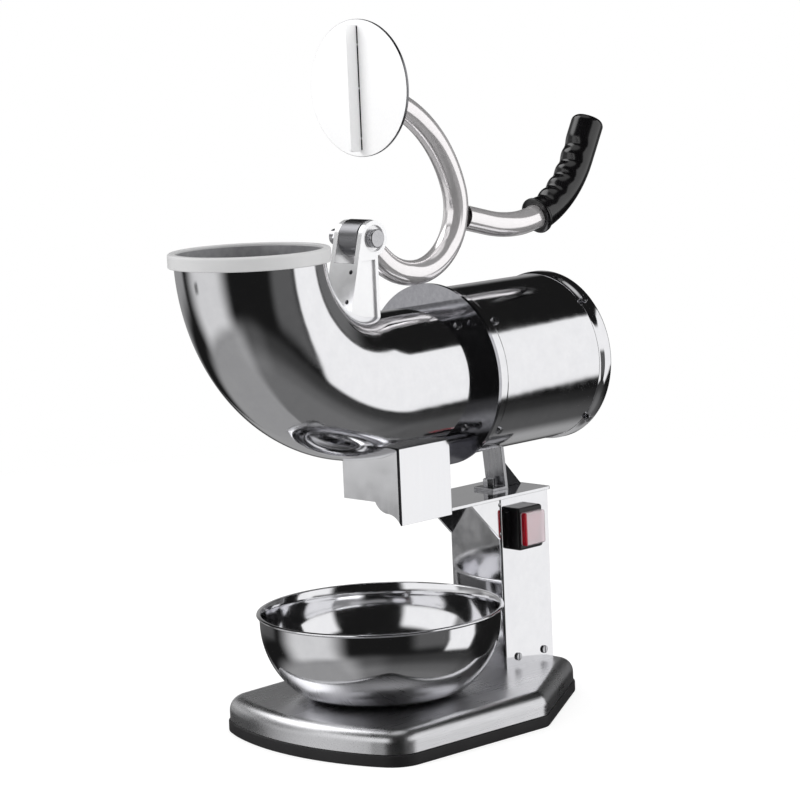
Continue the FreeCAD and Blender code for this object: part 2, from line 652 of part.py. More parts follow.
head_face = v("base_head_h + fit_gap")
group("base_screws", [
    pointing(
        screw(v("base_head_r"), v("base_head_h"), v("base_screw_r"), v("base_screw_len - base_head_h")),
        (x, y, head_face), (0, 0, -1))
    for x, y in post_place
])

# ---- column ------------------------------------------------------------------------------

half, depth, sheet_t, back = "column_w / 2", "column_d", "column_sheet", "column_w / 2 - column_return"
column = plate("column", [
    ("-(%s)" % half, "0"),
    (half, "0"),
    (half, depth),
    (back, depth),
    (back, "%s - %s" % (depth, sheet_t)),
    ("%s - %s" % (half, sheet_t), "%s - %s" % (depth, sheet_t)),
    ("%s - %s" % (half, sheet_t), sheet_t),
    ("-(%s - %s)" % (half, sheet_t), sheet_t),
    ("-(%s - %s)" % (half, sheet_t), "%s - %s" % (depth, sheet_t)),
    ("-(%s)" % back, "%s - %s" % (depth, sheet_t)),
    ("-(%s)" % back, depth),
    ("-(%s)" % half, depth),
], "column_h", at=("0", "column_y", "base_h"))
wide = size(half)
dress(column, "Fillet",
      lambda e: upright(e) and e.BoundBox.YMax < 1e-6 and abs(abs(e.BoundBox.XMin) - wide) < 1e-6,
      "column_edge_r")
switch_hole = box(
    (half + " - 2 * column_sheet",
     "switch_y - switch_body_w / 2 - fit_gap",
     "switch_z - switch_body_tall / 2 - fit_gap"),
    ("4 * column_sheet", "switch_body_w + 2 * fit_gap", "switch_body_tall + 2 * fit_gap"))
FOOT_SCREWS = ("foot_screw_front", "foot_screw_rear")
foot_holes = [
    rod("small_r", "column_w + 2 * through", ("-(column_w / 2 + through)", y, "base_h + foot_screw_z"), "X")
    for y in FOOT_SCREWS
]
cover_y = "column_y + column_d"
COVER_SCREWS = [
    (s + "(column_w - column_return) / 2", z)
    for s in ("-", "")
    for z in ("base_h + cover_screw_inset", "base_h + column_h / 2", "base_h + column_h - cover_screw_inset")
]
cover_holes = [
    rod("small_r", "3 * column_sheet", (x, "%s - 2 * column_sheet" % cover_y, z), "Y")
    for x, z in COVER_SCREWS
]
keep("column_shell", joined("Cut", "column_cut", column, switch_hole, *foot_holes, *cover_holes))

cover = box(
    ("-(column_w / 2 - cover_inset)", cover_y, "base_h + cover_inset"),
    ("column_w - 2 * cover_inset", "column_sheet", "column_h - 2 * cover_inset"))
gland_hole = rod("gland_thread_r", "3 * column_sheet", ("0", "%s - column_sheet" % cover_y, "gland_z"), "Y")
screw_bores = [
    rod("small_r", "3 * column_sheet", (x, "%s - column_sheet" % cover_y, z), "Y")
    for x, z in COVER_SCREWS
]
keep("column_cover", joined("Cut", "cover_cut", cover, gland_hole, *screw_bores))
cover_out = v(cover_y + " + column_sheet")
column_screws = [pointing(small_screw(), (v(x), cover_out, v(z)), (0, 1, 0)) for x, z in COVER_SCREWS]

inside = v("column_w / 2 - column_sheet")
foot_z = v("base_h")
feet, foot_bolts, nuts = [], [], []
for side in (-1, 1):
    upright_leg = Part.makeBox(v("foot_t"), v("foot_len"), v("foot_h"))
    flat_leg = Part.makeBox(v("foot_w"), v("foot_len"), v("foot_t"))
    angle = upright_leg.fuse(flat_leg).removeSplitter()
    angle.translate(Vector(-inside, v("foot_y"), foot_z))
    for y in FOOT_SCREWS:
        hole = Part.makeCylinder(v("small_r"), v("foot_t + 2 * through"))
        angle = angle.cut(place(hole, (-inside - v("through"), v(y), foot_z + v("foot_screw_z")), "X"))
        head_at = (side * v("column_w / 2"), v(y), foot_z + v("foot_screw_z"))
        column_screws.append(pointing(small_screw(), head_at, (side, 0, 0)))
    for x, y in foot_place[:2]:
        hole = Part.makeCylinder(v("bolt_r"), v("foot_t + 2 * through"), Vector(x, y, foot_z - v("through")))
        angle = angle.cut(hole)
    if side > 0:
        angle = angle.mirror(Vector(0, 0, 0), Vector(1, 0, 0))
    feet.append(angle)
for x, y in foot_place:
    shank = Part.makeCylinder(v("bolt_r"), v("foot_bolt_len"), Vector(0, 0, -v("foot_bolt_len")))
    bolt = hexagon(v("bolt_head_r"), v("foot_bolt_head_h")).fuse(shank)
    foot_bolts.append(place(bolt.removeSplitter(), (x, y, foot_z + v("foot_t"))))
    nuts.append((x, y, foot_z - v("base_sheet + bolt_nut_h")))
group("column_feet", feet)
group("column_screws", column_screws)
group("foot_bolts", foot_bolts)

# ---- top plate, gussets and neck -----------------------------------------------------------

plate_z, plate_top = "base_h + column_h", "(base_h + column_h + top_plate_t)"
plate_end = "column_y + column_d + top_plate_over"
half = "top_plate_w / 2"
top_plate = plate("top_sheet", [
    ("-(%s)" % half, "chute_rear"),
    (half, "chute_rear"),
    (half, plate_end),
    ("-(%s)" % half, plate_end),
], "top_plate_t", holes=[("0", "neck_bolt_y", "bolt_r")], at=("0", "0", plate_z))
rear_y = size(plate_end)
dress(top_plate, "Fillet", lambda e: upright(e) and e.BoundBox.YMin > rear_y - 1e-6, "top_plate_corner")
keep("top_plate", top_plate)

right, left = [
    plate("gusset", [
        ("column_y - gusset_leg", plate_z),
        ("column_y", "%s - gusset_leg" % plate_z),
        ("column_y", plate_z),
    ], "gusset_t", at=(x, "0", "0"), along="X")
    for x in ("column_w / 2 - gusset_t", "-column_w / 2")
]
keep("gussets", joined("Fuse", "gusset_pair", right, left))

tacks = []
for side in (-1, 1):
    for z in (v(plate_z + " - tack_inset"), v(plate_z + " - gusset_leg + tack_inset")):
        face = side * v("column_w / 2")
        ball = Part.makeSphere(v("tack_r"), Vector(face - side * v("tack_r - tack_proud"), v("column_y"), z))
        wide = v("2 * tack_r")
        corner = Vector(face if side > 0 else face - wide, v("column_y - tack_r"), z - v("tack_r"))
        outside = Part.makeBox(wide, wide, wide, corner)
        tacks.append(ball.common(outside))
group("gusset_tacks", tacks)

neck_top = "(axis_z - shell_r + neck_into)"
neck = plate("neck_sheet", [
    ("neck_rear - neck_foot", plate_top),
    ("neck_rear", plate_top),
    ("neck_rear - neck_lean", neck_top),
    ("neck_rear - neck_lean - neck_t", neck_top),
    ("neck_rear - neck_t", plate_top + " + neck_foot_t"),
    ("neck_rear - neck_foot", plate_top + " + neck_foot_t"),
], "neck_w", at=("-neck_w / 2", "0", "0"), along="X")
under_motor = rod("shell_r", "shell_len", ("0", "flange_y + flange_t", "axis_z"), "Y")
neck_hole = rod("bolt_r", "neck_foot_t + 2 * through", ("0", "neck_bolt_y", plate_top + " - through"), "Z")
keep("neck_bracket", joined("Cut", "neck_cut", neck, under_motor, neck_hole))

lean = "neck_lean * rib_h / (%s - %s)" % (neck_top, plate_top)
keep("neck_rib", plate("rib", [
    ("neck_rear", plate_top),
    ("neck_rear + rib_len", plate_top),
    ("neck_rear - " + lean, plate_top + " + rib_h"),
], "rib_t", at=("-rib_t / 2", "0", "0"), along="X"))

bolt_y, foot_top = v("neck_bolt_y"), v(plate_top + " + neck_foot_t")
bolt = hexagon(v("bolt_head_r"), v("bolt_head_h"))
bolt = bolt.fuse(Part.makeCylinder(v("bolt_r"), v("bolt_len"), Vector(0, 0, -v("bolt_len"))))
group("neck_bolt", [place(bolt.removeSplitter(), (0, bolt_y, foot_top), "Z")])
nuts.append((0, bolt_y, v(plate_z + " - bolt_nut_h")))
nut = hexagon(v("bolt_head_r"), v("bolt_nut_h")).cut(Part.makeCylinder(v("bolt_r"), v("bolt_nut_h")))
group("hex_nuts", [place(nut.copy(), at) for at in nuts])

# ---- switch --------------------------------------------------------------------------------

def panel(name, w, tall, deep, x):
    """A slab on the switch's centre, standing along +X from x."""
    return plate(name, [
        ("-(%s) / 2" % w, "-(%s) / 2" % tall),
        ("(%s) / 2" % w, "-(%s) / 2" % tall),
        ("(%s) / 2" % w, "(%s) / 2" % tall),
        ("-(%s) / 2" % w, "(%s) / 2" % tall),
    ], deep, at=(x, "switch_y", "switch_z"), along="X")


wall = "column_w / 2"
face = "(column_w / 2 + switch_proud)"
axle = "(%s - rocker_axle_in)" % face
surround = panel("surround", "switch_w", "switch_tall", "switch_proud", wall)
dress(surround, "Fillet", upright, "switch_corner_r")
proud = size("switch_proud")
dress(surround, "Fillet", lambda e: e.BoundBox.ZMin > proud - 1e-6, "switch_edge_r")
switch_body = panel("switch_body", "switch_body_w", "switch_body_tall", "switch_depth + 2 * gasket_t",
                    wall + " - switch_depth")
well = panel("switch_well", "well_w", "well_tall", "well_depth + through", face + " - well_depth")
gasket_shape = panel("gasket_tool", "switch_w + 2 * gasket_over", "gasket_tall", "gasket_t", wall)
axle_bore = rod("rocker_axle_r + running_gap", "well_w + 2 * (rocker_stub + fit_gap)",
                (axle, "switch_y - well_w / 2 - rocker_stub - fit_gap", "switch_z"), "Y")
solid = joined("Fuse", "switch_joined", joined("Cut", "surround_cut", surround, gasket_shape), switch_body)
keep("switch_housing", joined("Cut", "switch_cut", solid, well, axle_bore))

gasket = panel("gasket", "switch_w + 2 * gasket_over", "gasket_tall", "gasket_t", wall)
dress(gasket, "Fillet", upright, "switch_edge_r")
gasket_hole = panel("gasket_hole", "switch_body_w", "switch_body_tall", "3 * gasket_t", wall + " - gasket_t")
keep("switch_gasket", joined("Cut", "gasket_cut", gasket, gasket_hole))

splash = panel("splash", "cap_w", "cap_tall", "cap_proud", face)
dress(splash, "Fillet", upright, "switch_edge_r")
proud = size("cap_proud")
dress(splash, "Fillet", lambda e: e.BoundBox.ZMin > proud - 1e-6, "cap_round")
hollow = panel("splash_hollow", "cap_w - 2 * cap_wall", "cap_tall - 2 * cap_wall", "cap_proud",
               face + " - cap_wall")
keep("switch_cap", joined("Cut", "splash_cut", splash, hollow))

rise = "rocker_tall / 2 * tan(rocker_slope_deg)"
rocker_w = "(well_w - 2 * fit_gap)"
rocker_block = plate("rocker_block", [
    ("-rocker_tall / 2", "rocker_front + " + rise),
    ("-rocker_tall / 2", "0"),
    ("0", "-rocker_back"),
    ("rocker_tall / 2", "0"),
    ("rocker_tall / 2", "rocker_front + " + rise),
    ("0", "rocker_front"),
], rocker_w, at=(axle, "switch_y - %s / 2" % rocker_w, "switch_z"), along="Y")
rocker_block.Placement = Placement(rocker_block.Placement.Base,
                                   Rotation(Vector(0, 1, 0), v("rocker_slope_deg")).multiply(TURNS["Y"]))
stub = "(%s + 2 * rocker_stub)" % rocker_w
rocker_axle = rod("rocker_axle_r", stub, (axle, "switch_y - %s / 2" % stub, "switch_z"), "Y")
keep("switch_rocker", joined("Fuse", "rocker_fused", rocker_block, rocker_axle))

# ---- electrics in the column ---------------------------------------------------------------

capacitor_x = "(-(column_w / 2 - column_sheet - clip_t - capacitor_r))"
can = turned("capacitor_can", [
    ("0", "0"),
    ("capacitor_r", "0"),
    ("capacitor_r", "capacitor_h"),
    ("capacitor_r - can_rim", "capacitor_h"),
    ("capacitor_r - can_rim", "capacitor_h - can_rim"),
    ("0", "capacitor_h - can_rim"),
], at=(capacitor_x, "capacitor_y", "capacitor_z"))
tabs = [
    box((capacitor_x + " %s tab_x" % s, "capacitor_y - tab_w / 2", "capacitor_z + capacitor_h - 2 * can_rim"),
        ("tab_t", "tab_w", "tab_h + 2 * can_rim"))
    for s in "+-"
]
keep("run_capacitor", joined("Fuse", "capacitor_fused", can, *tabs))
strap = turned("strap", [
    ("capacitor_r", "0"),
    ("capacitor_r + clip_t", "0"),
    ("capacitor_r + clip_t", "clip_h"),
    ("capacitor_r", "clip_h"),
], at=(capacitor_x, "capacitor_y", "capacitor_z + (capacitor_h - clip_h) / 2"))
ear = box((capacitor_x + " - capacitor_r - clip_t", "capacitor_y", "capacitor_z + (capacitor_h - clip_h) / 2"),
          ("clip_t", "capacitor_r + clip_ear", "clip_h"))
can_space = rod("capacitor_r", "capacitor_h", (capacitor_x, "capacitor_y", "capacitor_z"), "Z")
keep("capacitor_clip", joined("Cut", "clip_cut", joined("Fuse", "clip_fused", strap, ear), can_space))

gland_face = v(cover_y + " + column_sheet")
gland = place(hexagon(v("gland_r"), v("gland_hex")), (0, gland_face, v("gland_z")), "Y")
inner_end = v(cover_y) - v("gland_nut_h + gland_tail")
rearwards = Vector(0, 1, 0)
thread = Part.makeCylinder(v("gland_thread_r"), gland_face - inner_end,
                           Vector(0, inner_end, v("gland_z")), rearwards)
dome = Part.makeCone(v("gland_dome_r"), v("gland_bore_r + gland_wall"), v("gland_len - gland_hex"),
                     Vector(0, gland_face + v("gland_hex"), v("gland_z")), rearwards)
bore_length = gland_face - inner_end + v("gland_len + 2 * through")
bore = Part.makeCylinder(v("gland_bore_r"), bore_length,
                         Vector(0, inner_end - v("through"), v("gland_z")), rearwards)
group("cable_gland", [gland.fuse([thread, dome]).cut(bore)])
nut = hexagon(v("gland_nut_r"), v("gland_nut_h")).cut(Part.makeCylinder(v("gland_thread_r"), v("gland_nut_h")))
group("gland_nut", [place(nut, (0, v(cover_y) - v("gland_nut_h"), v("gland_z")), "Y")])

# ---- motor ---------------------------------------------------------------------------------
# Turned parts along the motor's axis give their heights as distances along +Y from the origin.

AXIS = ("0", "0", "axis_z")
flange_back = "(flange_y + flange_t)"
shell_end = "(flange_y + flange_t + shell_len)"
shell_in = "(shell_r - shell_sheet)"
collar_r = "(tube_r - tube_wall)"
flange_r = "(shell_r + flange_over)"
stator_r = "(shell_r - shell_sheet - stator_gap)"

flange = turned("flange", [
    ("shaft_r + shaft_bore", "flange_y"),
    ("%s - spigot_t" % collar_r, "flange_y"),
    ("%s - spigot_t" % collar_r, "flange_y - spigot_len"),
    (collar_r, "flange_y - spigot_len"),
    (collar_r, "flange_y"),
    (flange_r, "flange_y"),
    (flange_r, flange_back),
    (shell_in, flange_back),
    (shell_in, flange_back + " + skirt_len"),
    (shell_in + " - skirt_t", flange_back + " + skirt_len"),
    (shell_in + " - skirt_t", flange_back),
    ("bearing_r + housing_wall", flange_back),
    ("bearing_r + housing_wall", "front_bearing_y + bearing_w"),
    ("bearing_r", "front_bearing_y + bearing_w"),
    ("bearing_r", flange_back),
    ("shaft_r + shaft_bore", flange_back),
], at=AXIS, along="Y")

shell = turned("shell", [
    (shell_in, flange_back),
    ("shell_r + band_step", flange_back),
    ("shell_r + band_step", flange_back + " + band_len - band_step"),
    ("shell_r", flange_back + " + band_len"),
    ("shell_r", shell_end),
    (shell_in, shell_end),
], at=AXIS, along="Y")


def radial(height, radius, turns, make):
    """Solids standing outwards on a cylinder round the motor's axis, degrees from the top."""
    solids = []
    for turn in turns:
        a = math.radians(turn)
        out = (math.sin(a), 0, math.cos(a))
        at = (radius * out[0], height, v("axis_z") + radius * out[2])
        solids.append(pointing(make(), at, out))
    return solids


def four_turns(high, low):
    """Places of four screws, the same on both sides, degrees from the top."""
    return [high, low, -high, -low]


TUBE_TURNS = four_turns(v("tube_screw_high_deg"), v("tube_screw_low_deg"))
COVER_TURNS = four_turns(v("cover_screw_deg"), 180 - v("cover_screw_deg"))
CAP_TURNS = four_turns(v("cap_screw_deg"), 180 - v("cap_screw_deg"))


def needle():
    """The space of a small screw's shank."""
    return Part.makeCylinder(v("small_r"), v("small_len + through"), Vector(0, 0, -v("small_len")))


flange_holes = [tool(s) for s in radial(v("cover_screw_y"), v("shell_r"), COVER_TURNS, needle)]
flange_holes += [tool(s) for s in radial(v("tube_screw_y"), v("tube_r"), TUBE_TURNS, needle)]
keep("front_flange", joined("Cut", "flange_cut", flange, *flange_holes))

cap_screw_y = v("cap_y - cap_skirt + cap_screw_in")
shell_holes = [tool(s) for s in radial(v("cover_screw_y"), v("shell_r"), COVER_TURNS, needle)]
shell_holes += [tool(s) for s in radial(cap_screw_y, v("shell_r + cap_sheet"), CAP_TURNS, needle)]
keep("motor_shell", joined("Cut", "shell_cut", shell, *shell_holes))
motor_screws = radial(v("cover_screw_y"), v("shell_r"), COVER_TURNS, small_screw)
motor_screws += radial(cap_screw_y, v("shell_r + cap_sheet"), CAP_TURNS, small_screw)
motor_screws += radial(v("tube_screw_y"), v("tube_r"), TUBE_TURNS, small_screw)
group("motor_screws", motor_screws)

cap_in, cap_out = "shell_r", "(shell_r + cap_sheet)"
cap = turned("cap", [
    ("0", "cap_y - cap_sheet"),
    (cap_out + " - cap_edge_r", "cap_y - cap_sheet"),
    (cap_in, "cap_y - cap_edge_r", "-(cap_edge_r - cap_sheet)"),
    (cap_in, "cap_y - cap_skirt"),
    (cap_out, "cap_y - cap_skirt"),
    (cap_out, "cap_y - cap_edge_r"),
    (cap_out + " - cap_edge_r", "cap_y", "cap_edge_r"),
    ("0", "cap_y"),
], at=AXIS, along="Y")
vents = []
long, wide = v("vent_out_r - vent_in_r"), v("vent_w")
slot_y, slot_deep = v("cap_y - cap_sheet - through"), v("cap_sheet + 2 * through")
for k in range(int(v("vent_count"))):
    slot = Part.makeBox(wide, slot_deep, long - wide, Vector(-wide / 2, slot_y, v("vent_in_r") + wide / 2))
    for end in (v("vent_in_r") + wide / 2, v("vent_out_r") - wide / 2):
        slot = slot.fuse(Part.makeCylinder(wide / 2, slot_deep, Vector(0, slot_y, end), rearwards))
    slot.rotate(Vector(0, 0, 0), rearwards, 360 * k / v("vent_count"))
    slot.translate(Vector(0, 0, v("axis_z")))
    vents.append(slot)
cap_holes = [tool(s) for s in radial(cap_screw_y, v("shell_r + cap_sheet"), CAP_TURNS, needle)]
keep("rear_cap", joined("Cut", "cap_cut", cap, tool(Part.makeCompound(vents)), *cap_holes))


def tie_bolts(radius, start, length):
    """Four rods along the motor on the circle of the tie bolts."""
    rods, circle = [], v(stator_r + " - tie_inset")
    for quarter in range(4):
        a = quarter * math.pi / 2
        at = Vector(circle * math.sin(a), start, v("axis_z") + circle * math.cos(a))
        rods.append(Part.makeCylinder(radius, length, at, rearwards))
    return rods


stator_end = "(stator_y + stator_len)"
shield_back = "(shield_y + shield_t)"
stack = turned("stack", [
    ("stator_bore_r", "stator_y"),
    (stator_r, "stator_y"),
    (stator_r, stator_end),
    ("stator_bore_r", stator_end),
], at=AXIS, along="Y")
tie_start, tie_end = v(flange_back), v(shield_back)
stack_bores = tie_bolts(v("tie_r"), v("stator_y - through"), v("stator_len + 2 * through"))
keep("stator_core", joined("Cut", "stack_cut", stack, tool(Part.makeCompound(stack_bores))))


def winding(start):
    """One end of the windings: a ring of rounded coils."""
    outer, long = Part.makeCylinder(v(stator_r + " - winding_inset"), v("winding_len")), v("winding_len")
    ring = outer.cut(Part.makeCylinder(v("stator_bore_r + winding_lift"), long))
    ring = ring.makeFillet(v("winding_round"), [e for e in ring.Edges if abs(e.BoundBox.ZLength) < 1e-6])
    return place(ring, (0, start, v("axis_z")), "Y")


group("stator_windings", [winding(v("stator_y - winding_len")), winding(v(stator_end))])

shield = turned("shield", [
    ("bearing_r", "rear_bearing_y"),
    ("bearing_r + housing_wall", "rear_bearing_y"),
    ("bearing_r + housing_wall", "shield_y"),
    (shell_in + " - skirt_t", "shield_y"),
    (shell_in + " - skirt_t", stator_end),
    (shell_in, stator_end),
    (shell_in, shield_back),
    ("shaft_r + shaft_bore", shield_back),
    ("shaft_r + shaft_bore", "rear_bearing_y + bearing_w"),
    ("bearing_r", "rear_bearing_y + bearing_w"),
], at=AXIS, along="Y")
shield_bores = tie_bolts(v("tie_r"), v(stator_end + " - through"),
                         v(shield_back + " - %s + 2 * through" % stator_end))
keep("rear_shield", joined("Cut", "shield_cut", shield, tool(Part.makeCompound(shield_bores))))

shanks = tie_bolts(v("tie_r"), tie_start, tie_end - tie_start)
heads = tie_bolts(v("tie_head_r"), tie_end, v("tie_head_h"))
group("tie_bolts", [shank.fuse(head).removeSplitter() for shank, head in zip(shanks, heads)])


def ring_of(inner_r, outer_r, start):
    ring = Part.makeCylinder(outer_r, v("bearing_w")).cut(Part.makeCylinder(inner_r, v("bearing_w")))
    return place(ring, (0, start, v("axis_z")), "Y")


BEARINGS = (v("front_bearing_y"), v("rear_bearing_y"))
inner_race, outer_race = v("shaft_r + race_t"), v("bearing_r - race_t")
ball_r = (outer_race - inner_race) / 2 - v("ball_gap")
balls = []
for start in BEARINGS:
    for k in range(int(v("ball_count"))):
        a = 2 * math.pi * k / v("ball_count")
        mid = (outer_race + inner_race) / 2
        at = Vector(mid * math.sin(a), start + v("bearing_w") / 2, v("axis_z") + mid * math.cos(a))
        balls.append(Part.makeSphere(ball_r, at))
group("bearing_outer_rings", [ring_of(outer_race, v("bearing_r"), y) for y in BEARINGS])
group("bearing_balls", balls)
group("bearing_inner_rings", [ring_of(v("shaft_r"), inner_race, y) for y in BEARINGS])

# ---- rotor -----------------------------------------------------------------------------------

shoulder = "(-carrier_y + stud_step)"
nose_end = "(-carrier_y - nose_len)"
keep("motor_shaft", turned("shaft", [
    ("0", nose_end + " + stud_in"),
    ("stud_r", nose_end + " + stud_in"),
    ("stud_r", shoulder),
    ("shaft_r", shoulder),
    ("shaft_r", "shaft_end"),
    ("0", "shaft_end"),
], at=AXIS, along="Y"))

rotor_r = "(stator_bore_r - air_gap)"
keep("rotor_core", turned("rotor", [
    ("shaft_r", "stator_y"),
    ("end_ring_r", "stator_y"),
    ("end_ring_r", "stator_y - end_ring_t"),
    (rotor_r + " - end_ring_in", "stator_y - end_ring_t"),
    (rotor_r + " - end_ring_in", "stator_y"),
    (rotor_r, "stator_y"),
    (rotor_r, stator_end),
    (rotor_r + " - end_ring_in", stator_end),
    (rotor_r + " - end_ring_in", stator_end + " + end_ring_t"),
    ("end_ring_r", stator_end + " + end_ring_t"),
    ("end_ring_r", stator_end),
    ("shaft_r", stator_end),
], at=AXIS, along="Y"))

fan_r = "(shell_r - shell_sheet - fan_gap)"
fan = turned("fan", [
    ("shaft_r", "fan_y"),
    ("fan_hub_r", "fan_y"),
    (fan_r, "fan_y"),
    (fan_r, "fan_y + fan_t"),
    ("fan_hub_r", "fan_y + fan_t"),
    ("fan_hub_r", "fan_y + fan_w"),
    ("shaft_r", "fan_y + fan_w"),
], at=AXIS, along="Y")
vanes = []
for k in range(int(v("fan_count"))):
    low = v("fan_hub_r - sunk")
    vane = Part.makeBox(v("fan_t"), v("fan_w"), v(fan_r) - low, Vector(-v("fan_t") / 2, v("fan_y"), low))
    vane.rotate(Vector(0, 0, 0), rearwards, 360 * k / v("fan_count"))
    vane.translate(Vector(0, 0, v("axis_z")))
    vanes.append(tool(vane))
keep("cooling_fan", joined("Fuse", "fan_joined", fan, *vanes))

carrier_r = "(tube_r - tube_wall - carrier_gap)"
carrier_back = "(-carrier_y + carrier_t)"
carrier = turned("carrier", [
    ("stud_r", "-carrier_y"),
    (carrier_r, "-carrier_y"),
    (carrier_r, carrier_back),
    ("carrier_hub_r", carrier_back),
    ("carrier_hub_r", "carrier_hub_y"),
    ("shaft_r", "carrier_hub_y"),
    ("shaft_r", shoulder),
    ("stud_r", shoulder),
], at=AXIS, along="Y")
paddles = []
for k in range(int(v("paddle_count"))):
    low, high = v("carrier_hub_r - sunk"), v(carrier_r)
    long = v("paddle_y") - v(carrier_back)
    paddle = Part.makeBox(v("paddle_t"), long, high - low, Vector(-v("paddle_t") / 2, v(carrier_back), low))
    paddle = paddle.common(Part.makeCylinder(high, long, Vector(0, v(carrier_back), 0), rearwards))
    paddle.rotate(Vector(0, 0, 0), rearwards, 360 * k / v("paddle_count") + v("paddle_deg"))
    paddle.translate(Vector(0, 0, v("axis_z")))
    paddles.append(tool(paddle))
front, seat = -v("carrier_y"), v("blade_t - blade_proud")
over, blade_front = v("through"), -v("carrier_y + blade_proud")
cuts, blades, blade_screws = [], [], []
for turn in (0, 180):
    low, long, wide = v("blade_in_r"), v("blade_len"), v("blade_w")
    slot = Part.makeBox(long + over, v("carrier_t") + 2 * over, v("slot_w"),
                        Vector(low - over, front - over, wide / 2))
    recess = Part.makeBox(long, seat + over, wide + over, Vector(low, front - over, -wide / 2))
    blade = Part.makeBox(long, v("blade_t"), wide + v("blade_bevel"), Vector(low, blade_front, -wide / 2))
    tip = blade.BoundBox.ZMax
    edge = [e for e in blade.Edges if e.BoundBox.ZMin > tip - 1e-6 and e.BoundBox.YMin > front + seat - 1e-6]
    blade = blade.makeChamfer(v("blade_bevel"), edge)
    for part_way in (0.25, 0.75):
        at = Vector(low + long * part_way, front + seat, -wide / 6)
        top = Vector(at.x, blade_front, at.z)
        hole = Part.makeCylinder(v("small_r"), v("blade_t") + 2 * over, top - Vector(0, over, 0), rearwards)
        head = Part.makeCone(v("small_head_r"), v("small_r"), v("small_head_h"), top, rearwards)
        blade = blade.cut(head.fuse(hole))
        cuts.append((Part.makeCylinder(v("small_r"), v("blade_screw_in"), at, rearwards), turn))
        drive = Part.makeBox(v("2 * small_head_r"), v("2 * slot_depth"), v("slot_across"),
                             top - Vector(v("small_head_r"), v("slot_depth"), v("slot_across / 2")))
        shank = Part.makeCylinder(v("small_r"), v("blade_t + blade_screw_in"), top, rearwards)
        blade_screws.append((head.fuse(shank).removeSplitter().cut(drive), turn))
    blades.append((blade, turn))
    cuts += [(slot, turn), (recess, turn)]


def spun(pairs):
    """Turns solids about the motor's axis and lifts them onto it."""
    solids = []
    for solid, turn in pairs:
        solid.rotate(Vector(0, 0, 0), rearwards, turn)
        solid.translate(Vector(0, 0, v("axis_z")))
        solids.append(solid)
    return solids


solid = joined("Fuse", "carrier_joined", carrier, *paddles)
keep("blade_carrier", joined("Cut", "carrier_cut", solid, *[tool(s) for s in spun(cuts)]))
group("blades", spun(blades))
group("blade_screws", spun(blade_screws))
nut = hexagon(v("nose_r"), v("nose_len"))
nut = nut.common(Part.makeSphere(v("nose_dome_r"), Vector(0, 0, v("nose_len + nose_dome_over - nose_dome_r"))))
nut = nut.cut(Part.makeCylinder(v("stud_r"), v("nose_len - stud_in")))
group("nose_nut", [pointing(nut, (0, front, v("axis_z")), (0, -1, 0))])

# ---- feed tube -------------------------------------------------------------------------------

BEND = Rotation(Vector(1, 1, 1), 120).multiply(Rotation(Vector(0, 0, 1), 180))
pivot_z = "(axis_z + bend_r)"


def bend(radius):
    """A quarter ring from the mouth down to the motor's axis."""
    solid = doc.addObject("Part::Torus", "Bend")
    bind(solid, Radius1="bend_r", Radius2=radius)
    solid.Angle3 = 90
    solid.Placement = Placement(Vector(0, v("bend_y"), v(pivot_z)), BEND)
    for axis, words in zip("xyz", ("0", "bend_y", pivot_z)):
        solid.setExpression("Placement.Base." + axis, linked(words))
    return solid


def straight(radius, start, end):
    return rod(radius, "(%s) - (%s)" % (end, start), ("0", start, "axis_z"), "Y")


inner_r = "tube_r - tube_wall"
chute_side = "(chute_w / 2 - chute_sheet)"
drop_rear = "(chute_rear - chute_sheet)"
elbow = joined("Cut", "elbow", bend("tube_r"), bend(inner_r))
barrel = joined("Cut", "barrel", straight("tube_r", "bend_y", "flange_y"),
                straight(inner_r, "bend_y - through", "flange_y + through"))
drop = box(("-" + chute_side, "drop_front", "axis_z - tube_r - through"),
           ("2 * " + chute_side, drop_rear + " - drop_front", "tube_r / 2"))
tube_holes = [tool(s) for s in radial(v("tube_screw_y"), v("tube_r"), TUBE_TURNS, needle)]
keep("feed_tube", joined("Cut", "tube_cut", joined("Fuse", "tube_joined", elbow, barrel), drop, *tube_holes))

keep("mouth_ring", turned("ring", [
    ("ring_skirt_r", "-ring_skirt"),
    ("ring_r", "-ring_skirt"),
    ("ring_r", "0"),
    ("ring_r - ring_lip", "ring_lip", "ring_lip"),
    ("ring_bore_r", "ring_lip"),
    ("ring_bore_r", "0"),
    ("ring_skirt_r", "0"),
], at=("0", "bend_y - bend_r", pivot_z)))

# ---- chute -----------------------------------------------------------------------------------

chute_out = box(("-chute_w / 2", "-chute_front", "chute_low"),
                ("chute_w", "chute_rear + chute_front", "chute_top - chute_low"))
chute_in = box(("-" + chute_side, "-chute_front + chute_sheet", "chute_low - through"),
               ("2 * " + chute_side, "chute_rear + chute_front - 2 * chute_sheet", "chute_top"))
mid_x = "(chute_step_x + chute_w / 2) / 2"
mid_z = "(chute_high + chute_low) / 2"
front_cut = plate("chute_step", [
    ("chute_low - through", "-chute_w / 2 - through"),
    ("chute_low - through", "chute_w / 2"),
    ("chute_low", "chute_w / 2"),
    (mid_z, mid_x, "-chute_step_r"),
    ("chute_high", "chute_step_x", "chute_step_r"),
    ("chute_high", "-chute_w / 2 - through"),
], "chute_sheet + through", at=("0", "-chute_front - through", "0"), along="Y")
side_cut = box(("-chute_w / 2 - through", "-chute_front - through", "chute_low - through"),
               ("chute_sheet + through",
                "chute_rear + chute_front - chute_sheet + through",
                "chute_high - chute_low + through"))
keep("ice_chute", joined(
    "Cut", "chute_cut", chute_out, chute_in, front_cut, side_cut,
    straight("tube_r", "bend_y", "flange_y"), bend("tube_r")))

# ---- lever bracket ---------------------------------------------------------------------------
# Outlines of the bracket and the lever are (distance behind the pivot, height above it).

